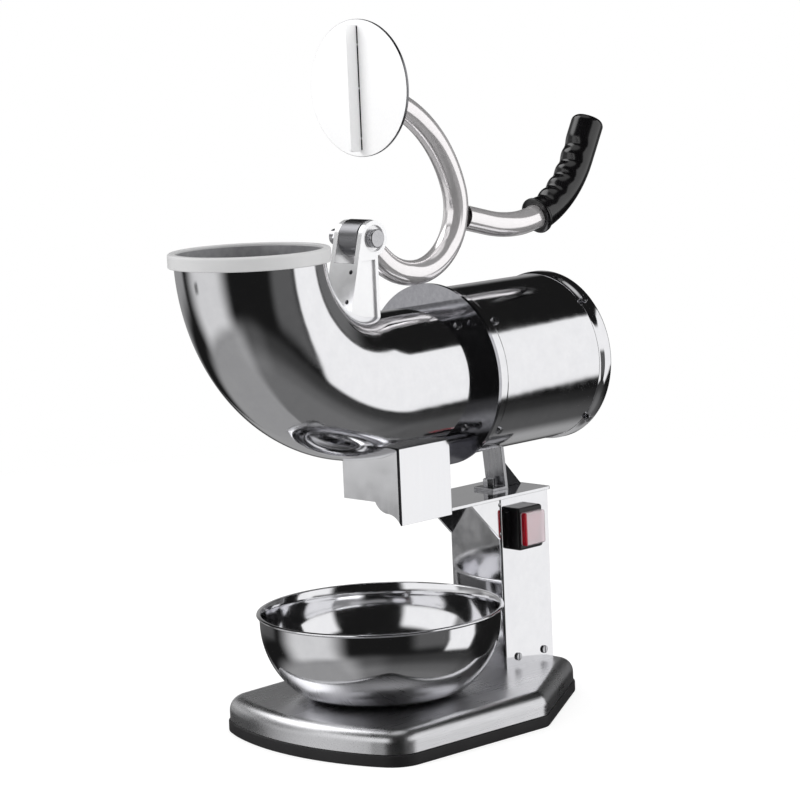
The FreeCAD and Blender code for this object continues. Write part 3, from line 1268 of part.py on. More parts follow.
PIVOT = ("bend_y", pivot_z)
cos_l, sin_l = "cos(bracket_lean_deg)", "sin(bracket_lean_deg)"
# An eye on a leg that leans at the front.
EYE_OUTLINE = [
    ("-(eye_r + bracket_h * %s) / %s" % (sin_l, cos_l), "-bracket_h"),
    ("bracket_rear", "-bracket_h"),
    ("bracket_rear", "-sqrt(eye_r ^ 2 - bracket_rear ^ 2)"),
    ("eye_r", "0", "eye_r"),
    ("0", "eye_r", "eye_r"),
    ("-eye_r * %s" % cos_l, "eye_r * %s" % sin_l, "eye_r"),
]


def cheek(name, x, thick):
    return plate(name, EYE_OUTLINE, thick, holes=[("0", "0", "pin_r")], at=(x,) + PIVOT, along="X")


def rim(name, x):
    """The raised ring round the eye and the raised border of the leg."""
    border = plate(name, EYE_OUTLINE, "rim_h", holes=[("0", "0", "eye_rim_r")], at=(x,) + PIVOT, along="X")
    top, low = "(eye_r + rim_gap)", "(bracket_h + through)"
    front = "-((eye_r - rim_w) + %s * %s) / %s"
    field = plate(name + "_field", [
        (front % (low, sin_l, cos_l), "-" + low),
        ("bracket_rear - rim_w", "-" + low),
        ("bracket_rear - rim_w", "-" + top),
        (front % (top, sin_l, cos_l), "-" + top),
    ], "rim_h + 2 * through", at=(x + " - through",) + PIVOT, along="X")
    return joined("Cut", name + "_cut", border, field)


cheek_out = "(cheek_in + cheek_t)"
front_at = "-(eye_r + (%s) * " + sin_l + ") / " + cos_l
web = plate("web", [
    (front_at % "bracket_h", "-bracket_h"),
    (front_at % "bracket_h" + " + cheek_t", "-bracket_h"),
    (front_at % "web_top" + " + cheek_t", "-web_top"),
    (front_at % "web_top", "-web_top"),
], "2 * cheek_in", at=("-cheek_in",) + PIVOT, along="X")
pressed = joined("Fuse", "bracket_joined",
                 cheek("cheek_right", "cheek_in", "cheek_t"), cheek("cheek_left", "-" + cheek_out, "cheek_t"),
                 rim("rim_right", cheek_out), rim("rim_left", "-(%s + rim_h)" % cheek_out), web)
lean = math.radians(v("bracket_lean_deg"))
lean_out = (0, -math.cos(lean), math.sin(lean))
rivet_places = [
    (v("cheek_in - rivet_in"), v("bend_y + " + front_at % down), v(pivot_z + " - " + down))
    for down in ("rivet_high", "rivet_low")
]
rivets, rivet_holes = [], []
for at in rivet_places:
    long = v("rivet_len + through")
    hole = Part.makeCylinder(v("rivet_r"), long + v("through"), Vector(0, 0, -long))
    rivet_holes.append(tool(pointing(hole, at, lean_out)))
    ball = v("rivet_ball_r")
    head = Part.makeSphere(ball, Vector(0, 0, v("rivet_head_h") - ball))
    head = head.common(Part.makeBox(2 * ball, 2 * ball, 2 * ball, Vector(-ball, -ball, 0)))
    shank = Part.makeCylinder(v("rivet_r"), v("rivet_len"), Vector(0, 0, -v("rivet_len")))
    rivets.append(pointing(head.fuse(shank).removeSplitter(), at, lean_out))
keep("lever_bracket", joined(
    "Cut", "bracket_cut", pressed, straight("tube_r", "bend_y", "flange_y"), bend("tube_r"), *rivet_holes))
group("bracket_rivets", rivets)

pivot = (0, v("bend_y"), v(pivot_z))
pin_start, pin_end = v(cheek_out), -v(cheek_out) - v("pin_tail")
head = place(Part.makeCylinder(v("pin_head_r"), v("pin_head_h")), (pin_start, pivot[1], pivot[2]), "X")
head = head.makeFillet(v("pin_round"), [
    e for e in head.Edges if e.BoundBox.XMin > pin_start + v("pin_head_h") - 1e-6])
shank = place(Part.makeCylinder(v("pin_r"), pin_start - pin_end), (pin_end, pivot[1], pivot[2]), "X")
group("pivot_bolt", [head.fuse(shank).removeSplitter()])
nut = hexagon(v("nut_r"), v("nut_h")).cut(Part.makeCylinder(v("pin_r"), v("nut_h")))
group("pivot_nut", [place(nut, (-pin_start - v("nut_h"), pivot[1], pivot[2]), "X")])

# ---- lever -----------------------------------------------------------------------------------

hub_half = "(cheek_in - side_gap)"
keep("lever_hub", turned("hub", [
    ("pin_r + running_gap", "-" + hub_half),
    ("hub_r", "-" + hub_half),
    ("hub_r", hub_half),
    ("pin_r + running_gap", hub_half),
], at=("0",) + PIVOT, along="X"))


class Path:
    """A flat run of lines and arcs beside the pivot, in the plane of the machine's middle."""

    def __init__(self, p, q, heading):
        self.p, self.q, self.heading, self.edges = p, q, math.radians(heading), []

    def spot(self, p, q):
        return Vector(0, v("bend_y") + p, v(pivot_z) + q)

    def ahead(self, length):
        p, q = self.p + length * math.cos(self.heading), self.q + length * math.sin(self.heading)
        self.edges.append(Part.LineSegment(self.spot(self.p, self.q), self.spot(p, q)).toShape())
        self.p, self.q = p, q
        return self

    def bend(self, radius, turn):
        """Follows an arc, to the left for a positive turn in degrees."""
        side = math.copysign(1, turn)
        cp = self.p - side * radius * math.sin(self.heading)
        cq = self.q + side * radius * math.cos(self.heading)
        points = [(self.p, self.q)]
        for share in (0.5, 1.0):
            a = self.heading + math.radians(turn) * share
            points.append((cp + side * radius * math.sin(a), cq - side * radius * math.cos(a)))
        self.edges.append(Part.Arc(*[self.spot(p, q) for p, q in points]).toShape())
        (self.p, self.q), self.heading = points[-1], self.heading + math.radians(turn)
        return self

    def swept(self, radius):
        """A round bar along the path."""
        start = self.edges[0].valueAt(self.edges[0].FirstParameter)
        along = self.edges[0].tangentAt(self.edges[0].FirstParameter)
        ring = Part.Wire(Part.makeCircle(radius, start, along))
        return Part.Wire(self.edges).makePipeShell([ring], True, False)


# The arm runs from the boss down round the pivot, curls under and comes back to the hub. It
# starts inside the boss and ends in the hub, and both are cut from it.
sweep_r, handle_p = v("bend_r - sweep_in"), v("bend_r - sweep_in - handle_in")
disc_back, boss_back = v("disc_y + disc_t"), v("disc_y + disc_t + boss_t")
start = math.degrees(math.asin(disc_back / sweep_r))
arm = Path(disc_back, sweep_r * math.cos(math.radians(start)), -start)
arm.bend(sweep_r, start - v("sweep_end_deg"))
arm.bend(v("curl_r"), v("sweep_end_deg") - 180)
# The last bend has the radius at which the straight end, at its slope, runs through the pivot.
tail = math.radians(v("tail_deg"))
tail_r = (arm.p * math.sin(tail) + arm.q * math.cos(tail)) / (1 - math.cos(tail))
tail_length = (arm.p - tail_r * math.sin(tail)) / math.cos(tail)
arm.bend(tail_r, -v("tail_deg"))
arm.ahead(tail_length)
arm_wide = v("4 * arm_r")
hub_space = place(Part.makeCylinder(v("hub_r"), arm_wide), (-arm_wide / 2, pivot[1], pivot[2]), "X")
boss_corner = Vector(-arm_wide / 2, pivot[1] + boss_back - arm_wide, pivot[2] + sweep_r - arm_wide / 2)
boss_space = Part.makeBox(arm_wide, arm_wide, arm_wide, boss_corner)
arm_bar = arm.swept(v("arm_r"))
group("lever_arm", [arm_bar.cut([arm.swept(v("arm_r - arm_wall")), hub_space, boss_space])])

grip_turn = v("handle_rise_deg - grip_start_deg")


def handle_path():
    path = Path(handle_p, v("handle_q"), -v("handle_drop_deg"))
    path.ahead(v("handle_lead")).bend(v("handle_sag_r"), v("handle_drop_deg"))
    return path.bend(v("handle_rise_r"), v("handle_rise_deg")).ahead(v("handle_end"))


handle_bar = handle_path().swept(v("arm_r"))
handle = handle_bar.cut([handle_path().swept(v("arm_r - arm_wall")), arm_bar])
group("handle_tube", [max(handle.Solids, key=lambda s: s.Volume)])

# The grip is a thick sleeve with a lip at its start, a rounded end and finger grooves on the
# inside of the bend.
lead = Path(handle_p, v("handle_q"), -v("handle_drop_deg"))
lead.ahead(v("handle_lead")).bend(v("handle_sag_r"), v("handle_drop_deg"))
lead.bend(v("handle_rise_r"), v("grip_start_deg"))


def from_grip_start():
    return Path(lead.p, lead.q, math.degrees(lead.heading))


sleeve = from_grip_start().bend(v("handle_rise_r"), grip_turn).ahead(v("handle_end + grip_over"))
sleeve_end = Vector(0, math.cos(sleeve.heading), math.sin(sleeve.heading))
grip = sleeve.swept(v("grip_r"))
last_ring = max(grip.Edges, key=lambda e: e.CenterOfMass.dot(sleeve_end))
grip = grip.makeFillet(v("grip_end_r"), [last_ring])
lip = from_grip_start().bend(v("handle_rise_r"), math.degrees(v("grip_lip_w / handle_rise_r")))
grip = grip.fuse(lip.swept(v("grip_r + grip_lip")))
bent = math.radians(grip_turn) * v("handle_rise_r")
across = v("4 * grip_r")
for k in range(int(v("finger_count"))):
    s = v("finger_first") + k * v("finger_pitch")
    h = lead.heading + min(s, bent) / v("handle_rise_r")
    over = max(0, s - bent)
    p = lead.p + v("handle_rise_r") * (math.sin(h) - math.sin(lead.heading)) + over * math.cos(h)
    q = lead.q - v("handle_rise_r") * (math.cos(h) - math.cos(lead.heading)) + over * math.sin(h)
    out = v("grip_r + finger_r - finger_depth")
    groove_at = lead.spot(p - out * math.sin(h), q + out * math.cos(h)) - Vector(across / 2, 0, 0)
    groove = Part.makeCylinder(v("finger_r"), across, groove_at, Vector(1, 0, 0))
    grip = grip.cut(groove)
group("hand_grip", [max(grip.cut(handle_bar).Solids, key=lambda s: s.Volume)])

disc_front = v("bend_y + disc_y")
disc_up = " + bend_r - disc_in"
disc_z = v(pivot_z + disc_up)
disc = turned("disc", [
    ("0", "disc_y"),
    ("disc_r - disc_edge", "disc_y"),
    ("disc_r", "disc_y + disc_edge"),
    ("disc_r", "disc_y + disc_t"),
    ("0", "disc_y + disc_t"),
], at=("0", "bend_y", pivot_z + disc_up), along="Y")
countersinks, disc_screws = [], []
for x in (-v("disc_screw_x"), v("disc_screw_x")):
    face_at = Vector(x, disc_front, disc_z)
    cone = Part.makeCone(v("small_head_r"), v("small_r"), v("small_head_h"), face_at, rearwards)
    bore = Part.makeCylinder(v("small_r"), v("small_len"), face_at, rearwards)
    slot = Part.makeBox(v("2 * small_head_r"), v("slot_depth"), v("slot_across"),
                        face_at - Vector(v("small_head_r"), 0, v("slot_across / 2")))
    countersinks.append(cone.fuse(bore).removeSplitter())
    disc_screws.append(countersinks[-1].cut(slot))
keep("press_disc", joined("Cut", "disc_cut", disc, *[tool(s) for s in countersinks]))
group("disc_screws", disc_screws)
fin = Part.makeBox(v("fin_t"), v("fin_h"), 2 * v("fin_half"),
                   Vector(-v("fin_t") / 2, disc_front - v("fin_h"), disc_z - v("fin_half")))
fin = fin.makeFillet(v("fin_round"), [
    e for e in fin.Edges
    if abs(e.BoundBox.XLength - v("fin_t")) < 1e-6 and e.BoundBox.YMax < disc_front - v("fin_h / 2")])
group("disc_fin", [fin])
boss = Part.makeCylinder(v("boss_r"), v("boss_t"))
boss = boss.makeFillet(v("boss_round"), [e for e in boss.Edges if e.BoundBox.ZMin > v("boss_t") - 1e-6])
boss = place(boss, (0, disc_front + v("disc_t"), disc_z), "Y")
group("disc_boss", [boss.cut(countersinks)])

# ---- bowl ------------------------------------------------------------------------------------

slope, steep = "bowl_foot_deg", "bowl_side_deg"
foot_x = "(bowl_foot_r + bowl_foot_bend * sin(%s))" % slope
foot_y = "(bowl_foot_bend * (1 - cos(%s)))" % slope
side_x = "(%s + bowl_side_bend * (sin(%s) - sin(%s)))" % (foot_x, steep, slope)
side_y = "(%s + bowl_side_bend * (cos(%s) - cos(%s)))" % (foot_y, slope, steep)
rim_x = "(%s + (bowl_h - %s) / tan(%s))" % (side_x, side_y, steep)
keep("bowl", turned("dish", [
    ("0", "0"),
    ("bowl_foot_r", "0"),
    (foot_x, foot_y, "bowl_foot_bend"),
    (side_x, side_y, "bowl_side_bend"),
    (rim_x, "bowl_h - bowl_lip_t"),
    (rim_x + " + bowl_lip", "bowl_h - bowl_lip_t"),
    (rim_x + " + bowl_lip", "bowl_h", "bowl_lip_r"),
    (rim_x + " - bowl_wall", "bowl_h"),
    ("%s - bowl_wall * sin(%s)" % (side_x, steep), "%s + bowl_wall * cos(%s)" % (side_y, steep)),
    ("%s - bowl_wall * sin(%s)" % (foot_x, slope), "%s + bowl_wall * cos(%s)" % (foot_y, slope),
     "-(bowl_side_bend - bowl_wall)"),
    ("bowl_foot_r", "bowl_wall", "-(bowl_foot_bend - bowl_wall)"),
    ("0", "bowl_wall"),
], at=("0", "bowl_y", "base_h + bowl_rest")))


# ---- writing -----------------------------------------------------------------------------

doc.recompute()
for thing in doc.Objects:
    state = set(getattr(thing, "State", []))
    if state & {"Invalid", "Error"}:
        raise RuntimeError("%s (%s) failed: %s" % (thing.Name, thing.Label, sorted(state)))
for label, thing in PARTS.items():
    if thing.Shape.isNull() or not thing.Shape.isValid() or not thing.Shape.Solids:
        raise RuntimeError("%s has no valid solid" % label)
os.makedirs("parts", exist_ok=True)
for label, thing in PARTS.items():
    thing.Shape.exportStep("parts/%s.step" % label)
    print("%-22s %2d solids %9.1f mm3" % (label, len(thing.Shape.Solids), thing.Shape.Volume))
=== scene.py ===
# %% [markdown]
# # An electric ice shaver with a press lever
# A motor in a round steel cover stands on a square steel column. Ice goes into the wide bent tube at
# the front, a lever swings a round disc into the tube to press the ice on the blades, and the
# shavings fall through a square chute into a bowl. Almost everything is stainless steel, so this
# lesson is about smooth surfaces, clean edges and what a mirror has to look at.

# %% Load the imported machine
import json
import math

import bmesh
import bpy
import numpy as np
from mathutils import Matrix, Vector


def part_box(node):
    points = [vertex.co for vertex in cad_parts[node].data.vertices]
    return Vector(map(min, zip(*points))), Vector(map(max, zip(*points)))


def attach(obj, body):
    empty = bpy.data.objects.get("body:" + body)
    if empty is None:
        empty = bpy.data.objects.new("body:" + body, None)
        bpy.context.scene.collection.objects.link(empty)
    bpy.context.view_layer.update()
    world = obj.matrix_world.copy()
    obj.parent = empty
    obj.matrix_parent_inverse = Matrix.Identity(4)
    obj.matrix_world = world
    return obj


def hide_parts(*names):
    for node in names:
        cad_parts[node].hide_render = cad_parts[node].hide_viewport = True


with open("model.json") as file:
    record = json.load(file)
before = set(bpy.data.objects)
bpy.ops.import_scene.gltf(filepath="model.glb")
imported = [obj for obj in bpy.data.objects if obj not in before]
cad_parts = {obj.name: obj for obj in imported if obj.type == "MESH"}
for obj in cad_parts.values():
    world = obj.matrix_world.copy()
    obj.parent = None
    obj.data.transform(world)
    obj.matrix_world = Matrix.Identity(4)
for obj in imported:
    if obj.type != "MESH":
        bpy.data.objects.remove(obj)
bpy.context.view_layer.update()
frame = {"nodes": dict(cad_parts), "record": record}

node_objects = frame["nodes"]

# %% [markdown]
# ## Camera
# The machine is seen from its front right corner, a little from above. A long lens keeps the
# vertical lines of the column nearly parallel. The camera is turned by a matrix rather than by
# angles, so that its sideways, upward and backward directions can be written down one by one.

# %% Camera
MM = 0.001
scene = bpy.context.scene
# The direction from the machine to the camera, as a turn and a height in radians; its place in mm.
view_turn, view_height, view_roll = 0.790, 0.144, math.radians(-2.5)
camera_place = np.array([1284.643, -1276.571, 468.403])
back = np.array([math.sin(view_turn) * math.cos(view_height),
                 -math.cos(view_turn) * math.cos(view_height),
                 math.sin(view_height)])
level_side = np.array([math.cos(view_turn), math.sin(view_turn), 0.0])
level_up = np.cross(back, level_side)
side = math.cos(view_roll) * level_side + math.sin(view_roll) * level_up
up = math.cos(view_roll) * level_up - math.sin(view_roll) * level_side


def placed(name, data):
    """A new object in the scene."""
    made = bpy.data.objects.new(name, data)
    scene.collection.objects.link(made)
    return made


camera = placed("camera", bpy.data.cameras.new("camera"))
camera.data.sensor_width, camera.data.lens = 36.0, 130.31
camera.matrix_world = Matrix([
    [*row, place] for row, place in zip(np.stack([side, up, back], axis=1), camera_place * MM)
] + [[0, 0, 0, 1]])
scene.camera = camera
print("camera", [round(x, 3) for x in camera.matrix_world.translation], "lens", camera.data.lens)

# %% [markdown]
# ## Colours and material nodes
# A colour is written as the hex value a paint program shows, and turned to the linear value that
# the shader counts with. One small helper adds any node with its settings and links, so each
# material below reads as a list of what it is made of.

# %% Helpers for colours and nodes


def linear(hex_colour):
    """sRGB hex to linear RGBA: below 0.04045 a straight line, above it a power of 2.4."""
    srgb = np.array([int(hex_colour[i:i + 2], 16) for i in (1, 3, 5)]) / 255
    flat = np.where(srgb <= 0.04045, srgb / 12.92, ((srgb + 0.055) / 1.055) ** 2.4)
    return (*flat.tolist(), 1.0)


def add(tree, kind, links=None, **settings):
    """Adds a ShaderNode of a kind. settings are its properties, or inputs written in_Name; links feed
    its inputs from sockets, or from nodes by their first output."""
    made = tree.nodes.new("ShaderNode" + kind)
    for name, value in settings.items():
        if name.startswith("in_"):
            key = name[3:].replace("_", " ")
            made.inputs[int(key) if key.isdigit() else key].default_value = value
        else:
            setattr(made, name, value)
    for name, source in (links or {}).items():
        tree.links.new(source.outputs[0] if hasattr(source, "outputs") else source, made.inputs[name])
    return made


def bare_tree(owner):
    """The empty node tree of a material or a world."""
    owner.use_nodes = True
    owner.node_tree.nodes.clear()
    return owner.node_tree


def finish_named(name):
    """A new material with its Principled shader and its output."""
    material = bpy.data.materials.new(name)
    tree = bare_tree(material)
    shader = add(tree, "BsdfPrincipled")
    add(tree, "OutputMaterial", {"Surface": shader})
    return material, tree, shader


def tint(material, share, colour):
    """Lays a colour over a finish's own tone wherever the node share gives 1."""
    tree = material.node_tree
    base = next(node for node in tree.nodes if node.type == "BSDF_PRINCIPLED").inputs["Base Color"]
    tone = add(tree, "Mix", {"Factor": share}, data_type="RGBA")
    tone.inputs["B"].default_value = linear(colour)
    tree.links.new(base.links[0].from_socket, tone.inputs["A"])
    tree.links.new(tone.outputs["Result"], base)


print("mid grey #808080 is", round(linear("#808080")[0], 3), "in linear light")

# %% [markdown]
# ## Steel
# The shell parts are stainless steel of the common kitchen grade, rolled and then polished to a
# mirror. A mirror of pressed sheet is never perfect: it waves very slightly over a few
# centimetres, and fine polishing lines blur it unevenly. The base is brushed instead: thousands of
# fine scratches in one direction smear every reflection across them. Image textures would show their
# pixels close up, so all finishes are one recipe: noise stretched along the lines drives roughness,
# colour and a small bump. Real scratches are a few hundredths of a millimetre apart, finer than a
# pixel, so the lines are drawn coarser and the roughness stands for the rest.

# %% Steel finishes


def dress(tree, shader, tones, tone_by, roughs, rough_by, rough_span, relief):
    """Feeds a shader a tone between two colours, a roughness between two values, and a relief."""
    tone = add(tree, "Mix", {"Factor": tone_by}, data_type="RGBA")
    tone.inputs["A"].default_value, tone.inputs["B"].default_value = linear(tones[0]), linear(tones[1])
    spread = add(tree, "MapRange", {"Value": rough_by}, in_From_Min=rough_span[0], in_From_Max=rough_span[1],
                 in_To_Min=roughs[0], in_To_Max=roughs[1])
    tree.links.new(tone.outputs["Result"], shader.inputs["Base Color"])
    tree.links.new(spread.outputs[0], shader.inputs["Roughness"])
    tree.links.new(relief.outputs[0], shader.inputs["Normal"])


def steel(name, colour, dark_colour, rough, rough_spread, lines, bump, wave=0.0, metallic=1.0):
    """Steel with fine lines. lines gives their spacing in millimetres along X, Y and Z; wave is how
    strong the slow waves of 1 mm are."""
    material, tree, shader = finish_named(name)
    place = add(tree, "TexCoord").outputs["Object"]
    stretch = add(tree, "Mapping", {"Vector": place}, in_Scale=[1000 / gap for gap in lines])
    grain = add(tree, "TexNoise", {"Vector": stretch}, in_Scale=1.0, in_Detail=3.0, in_Roughness=0.6)
    cloud = add(tree, "TexNoise", {"Vector": place}, in_Scale=28.0, in_Detail=2.0)
    mixed = add(tree, "Math", {0: grain, 1: cloud}, operation="ADD")
    relief = add(tree, "Bump", {"Height": grain}, in_Strength=bump, in_Distance=0.0001)
    if wave:
        relief = add(tree, "Bump", {"Height": cloud, "Normal": relief}, in_Strength=wave, in_Distance=0.001)
    dress(tree, shader, (dark_colour, colour), grain, (rough - rough_spread, rough + rough_spread), mixed,
          (0.6, 1.4), relief)
    shader.inputs["Metallic"].default_value = metallic
    return material


# Mirror-polished sheet: dark and white shapes of the room with soft edges, waving slightly.
polished_steel = steel("polished_stainless_steel", "#F2F2F4", "#E4E4E7", 0.085, 0.04, (9, 9, 9), 0.015, wave=0.14)
# Belt-brushed sheet with lines along Y: a grey sheen drawn out across the lines.
brushed_steel = steel("brushed_stainless_steel", "#F0F0F2", "#C4C4C7", 0.29, 0.06, (0.7, 45, 0.7), 0.22)
# Machine-turned screws: small bright points.
screw_steel = steel("turned_screw_steel", "#D2D2D4", "#AFAFB3", 0.2, 0.05, (1, 1, 1), 0.1)
# Zinc plate as it leaves the bath: bluish and cloudy.
zinc_steel = steel("zinc_plated_steel", "#C3C7C9", "#9A9FA3", 0.32, 0.06, (2, 2, 2), 0.1)
# Blackened in hot oxide salt: dark with a dull shine.
dark_steel = steel("blackened_steel", "#6A6A6D", "#434346", 0.3, 0.08, (1.5, 1.5, 1.5), 0.15)
# Drawn tube, satin polished: a broad pale band between thin dark ones.
satin_tube = steel("satin_steel_tube", "#FBF8F9", "#F0EDEE", 0.12, 0.03, (3, 3, 3), 0.02, metallic=0.72)
# Cold-rolled sheet with its long rolling waves: a mirror that breaks shapes up into smoke.
grained_sheet = steel("grained_steel_sheet", "#F2F2F4", "#ECECEF", 0.13, 0.04, (2.5, 2.5, 60), 0.008, wave=0.25)
# Faced on a lathe: an even mid grey with a clear reflection.
turned_steel = steel("turned_steel_flange", "#C4C4C8", "#A0A0A6", 0.1, 0.03, (3, 3, 3), 0.02, wave=0.35)
# Drawn flat bar, not polished: faint upright lines.
neck_steel = steel("drawn_flat_steel", "#C2C2C4", "#88888B", 0.3, 0.06, (2.4, 2.4, 40), 0.08)
# Turned bar with rings round the hub's axis: a grey with fine glints.
hub_steel = steel("turned_steel_hub", "#A4A4A7", "#77777B", 0.3, 0.06, (20, 1.2, 1.2), 0.1)
# Nearly black steel of the rib's welded flat bar; the same finish is the painted shade of the lines at the fin's
# root.
rib_steel = steel("dark_flat_steel_and_painted_root_shade", "#3A3A3C", "#1E1E20", 0.35, 0.08, (2, 2, 2), 0.2)
print("steel finishes:", polished_steel.name, satin_tube.name, grained_sheet.name, brushed_steel.name)

# %% [markdown]
# ## Bead-blasted steel
# The press disc, its fin and the lever's bracket look nearly white and show no reflections. Blasting
# with glass beads leaves tiny pits, and light bounces between them until it leaves in every
# direction, as it does from paper. The recipe is the same, with a part of the shader answering as a
# matt surface to stand for those bounces.

# %% Blasted finishes
# Bead blasted all over: white, without a reflection.
blasted_steel = steel("bead_blasted_steel", "#FFFFFF", "#F7F7F8", 0.5, 0.06, (1.5, 1.5, 1.5), 0.05, metallic=0.1)
# Blasted and then brushed over lightly: pale, with grey shapes at the edges.
satin_sheet = steel("satin_pressed_sheet", "#FDFDFE", "#F3F3F5", 0.22, 0.04, (6, 6, 6), 0.01, metallic=0.62)
# Pickled in acid after welding and not polished: an even cloudy grey.
tube_inside = steel("pickled_tube_inside", "#A9A9AB", "#77777A", 0.4, 0.08, (6, 6, 6), 0.1, metallic=0.3)
print("blasted finishes:", blasted_steel.name, tube_inside.name)

# %% [markdown]
# ## Rubber, plastic and cast metal
# The grip is glossy moulded vinyl, the tray under the base is matt rubber, the ring round the mouth
# is pale grey ABS, and the switch has a red translucent rocker under a clear splash cap. Moulded
# plastic has a fine skin texture: a small noise bump and a roughness that varies a little.

# %% Moulded finishes


def moulded(name, colour, dark_colour, rough, grit, bump, **settings):
    """Plastic or rubber. grit is the size of its skin texture in millimetres."""
    material, tree, shader = finish_named(name)
    place = add(tree, "TexCoord").outputs["Object"]
    texture = add(tree, "TexNoise", {"Vector": place}, in_Scale=1000 / grit, in_Detail=2.0)
    cloud = add(tree, "TexNoise", {"Vector": place}, in_Scale=35.0, in_Detail=3.0)
    relief = add(tree, "Bump", {"Height": texture}, in_Strength=bump, in_Distance=0.0002)
    dress(tree, shader, (dark_colour, colour), cloud, (rough * 0.85, rough * 1.15), cloud, (0.3, 0.7), relief)
    for key, value in settings.items():
        shader.inputs[key.replace("_", " ")].default_value = value
    return material


# Moulded rubber with a dull grain: no highlight.
black_rubber = moulded("black_rubber", "#1E1D1F", "#131214", 0.62, 0.8, 0.35, IOR=1.52)
# Vinyl with a gloss skin from the mould: long sharp highlights.
grip_vinyl = moulded("glossy_black_vinyl", "#0E0D0F", "#080708", 0.2, 1.6, 0.05, IOR=1.53, Coat_Weight=0.4,
                     Coat_Roughness=0.08)
# Moulded nylon of the switch: a broad soft highlight.
black_plastic = moulded("black_switch_plastic", "#141315", "#0C0B0D", 0.3, 0.6, 0.12, IOR=1.5)
# Moulded ABS of the mouth ring: a calm grey between mirrors.
ring_plastic = moulded("pale_grey_ring_plastic", "#CFCFCF", "#BEBEBF", 0.42, 0.7, 0.12, IOR=1.53)
# White nylon of the parts in the column: dull and pale.
white_plastic = moulded("white_plastic", "#DCDBD6", "#CFCEC8", 0.45, 0.7, 0.1, IOR=1.53)
# Polished red polycarbonate of the rocker: the one strong colour.
red_rocker = moulded("red_rocker_plastic", "#C4122B", "#A50B22", 0.22, 0.6, 0.04, IOR=1.5, Coat_Weight=0.3)
# Soft clear vinyl of the splash cap, a little milky; the faint pink of its own tone is the rocker's red light,
# painted.
splash_cap = moulded("milky_splash_cap_vinyl_with_painted_rocker_light", "#FBF0F4", "#F3E6EB", 0.1, 1.2, 0.05, IOR=1.45,
                     Transmission_Weight=0.6)
# Aluminium cast in sand, not machined: grey and grainy.
cast_aluminium = steel("sand_cast_aluminium", "#C6C7C9", "#9FA1A4", 0.42, 0.08, (1.6, 1.6, 1.6), 0.5)
# Stacked iron sheets: fine lines.
stator_iron = steel("stacked_iron_sheet", "#7B7C80", "#4E4F53", 0.42, 0.06, (40, 0.6, 40), 0.4)
# Enamelled copper wire under varnish: a warm brown.
copper_wire = steel("varnished_copper_wire", "#B5713F", "#7C4321", 0.34, 0.06, (1.2, 1.2, 1.2), 0.6)
print("moulded finishes:", grip_vinyl.name, ring_plastic.name, red_rocker.name)

# %% [markdown]
# ## Red edge of the splash cap
# The cap is a soft moulding, pulled over the switch to keep water out. Its thick near edge works as a
# lens filled with the rocker's red. Bent rays could show that, but only with many samples, so the red
# is laid over the cap's tone in a strip along that edge.

# %% Red edge
edge_low, edge_high = np.array(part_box("switch_cap")).tolist()
red_until, faded_at, red_depth = 1.4 * MM, 2.4 * MM, 3.0 * MM
tree = splash_cap.node_tree
spot = add(tree, "SeparateXYZ", {"Vector": add(tree, "TexCoord").outputs["Object"]})
near_edge = add(tree, "MapRange", {"Value": spot.outputs["Y"]}, in_To_Min=1.0, in_To_Max=0.0,
                in_From_Min=edge_low[1] + red_until, in_From_Max=edge_low[1] + faded_at)
outer = add(tree, "Math", {0: spot.outputs["X"]}, operation="GREATER_THAN", in_1=edge_high[0] - red_depth)
in_edge = add(tree, "Math", {0: near_edge, 1: outer}, operation="MINIMUM")
tint(splash_cap, in_edge, "#C4122B")
print("red strip of", round(red_until / MM, 1), "mm along the edge of", splash_cap.name)

# %% [markdown]
# ## A first coat for the CAD parts
# Plates, screws, nuts and everything inside the machine keep their CAD shapes. Each takes the finish
# that the real part has, chosen by the slot that the record names for it.

# %% Finish the CAD parts by slot
SLOT_FINISH = {
    "polished_steel": polished_steel, "brushed_steel": brushed_steel, "screw_steel": screw_steel,
    "zinc_steel": zinc_steel, "dark_steel": dark_steel, "cast_aluminium": cast_aluminium,
    "stator_iron": stator_iron, "copper_wire": copper_wire, "black_rubber": black_rubber,
    "black_grip": grip_vinyl, "black_plastic": black_plastic, "grey_plastic": ring_plastic,
    "white_plastic": white_plastic, "red_plastic": red_rocker, "clear_plastic": splash_cap,
}
slot_of = {row["node"]: row["material_slot"] for row in frame["record"]["subparts"]}
for node_name, node_object in node_objects.items():
    for socket in node_object.material_slots:
        socket.material = black_plastic if node_name == "switch_gasket" else SLOT_FINISH[slot_of[node_name]]
print(len(slot_of), "CAD parts in the slots", sorted(set(slot_of.values())))

# %% [markdown]
# ## Surfaces from grids
# The round parts are made as grids of points. A shape is a formula of two numbers, such as the turn
# round an axis and the distance along a profile, and each small square of neighbouring points
# becomes a face. A formula keeps a mirror smooth, where a mesh with visible flats would break every
# reflection. Corners are rounded by small arcs, and a point just before and after each arc keeps
# the flat next to it flat.

# %% Mesh helpers


def quads_of(shape, around=True, along=False):
    """The corner numbers of each cell of a grid of points; around joins the last column to the first
    and along the last row to the first."""
    index = np.arange(shape[0] * shape[1]).reshape(shape[:2])
    if around:
        index = np.concatenate([index, index[:, :1]], axis=1)
    if along:
        index = np.concatenate([index, index[:1]], axis=0)
    return np.stack([index[:-1, :-1], index[:-1, 1:], index[1:, 1:], index[1:, :-1]], axis=-1)


def points_of(x, y, z):
    """Points from three coordinates, each spread over the whole grid."""
    return np.stack(np.broadcast_arrays(x, y, z), axis=-1)


def mesh_of(name, points, quads, finishes, middle=()):
    """A mesh through points in millimetres; middle lists the points round a hole that one face closes."""
    mesh = bpy.data.meshes.new(name)
    faces = np.reshape(quads, (-1, 4)).tolist() + ([list(middle)] if len(middle) else [])
    mesh.from_pydata((np.reshape(points, (-1, 3)) * MM).tolist(), [], faces)
    for finish in finishes:
        mesh.materials.append(finish)
    return mesh


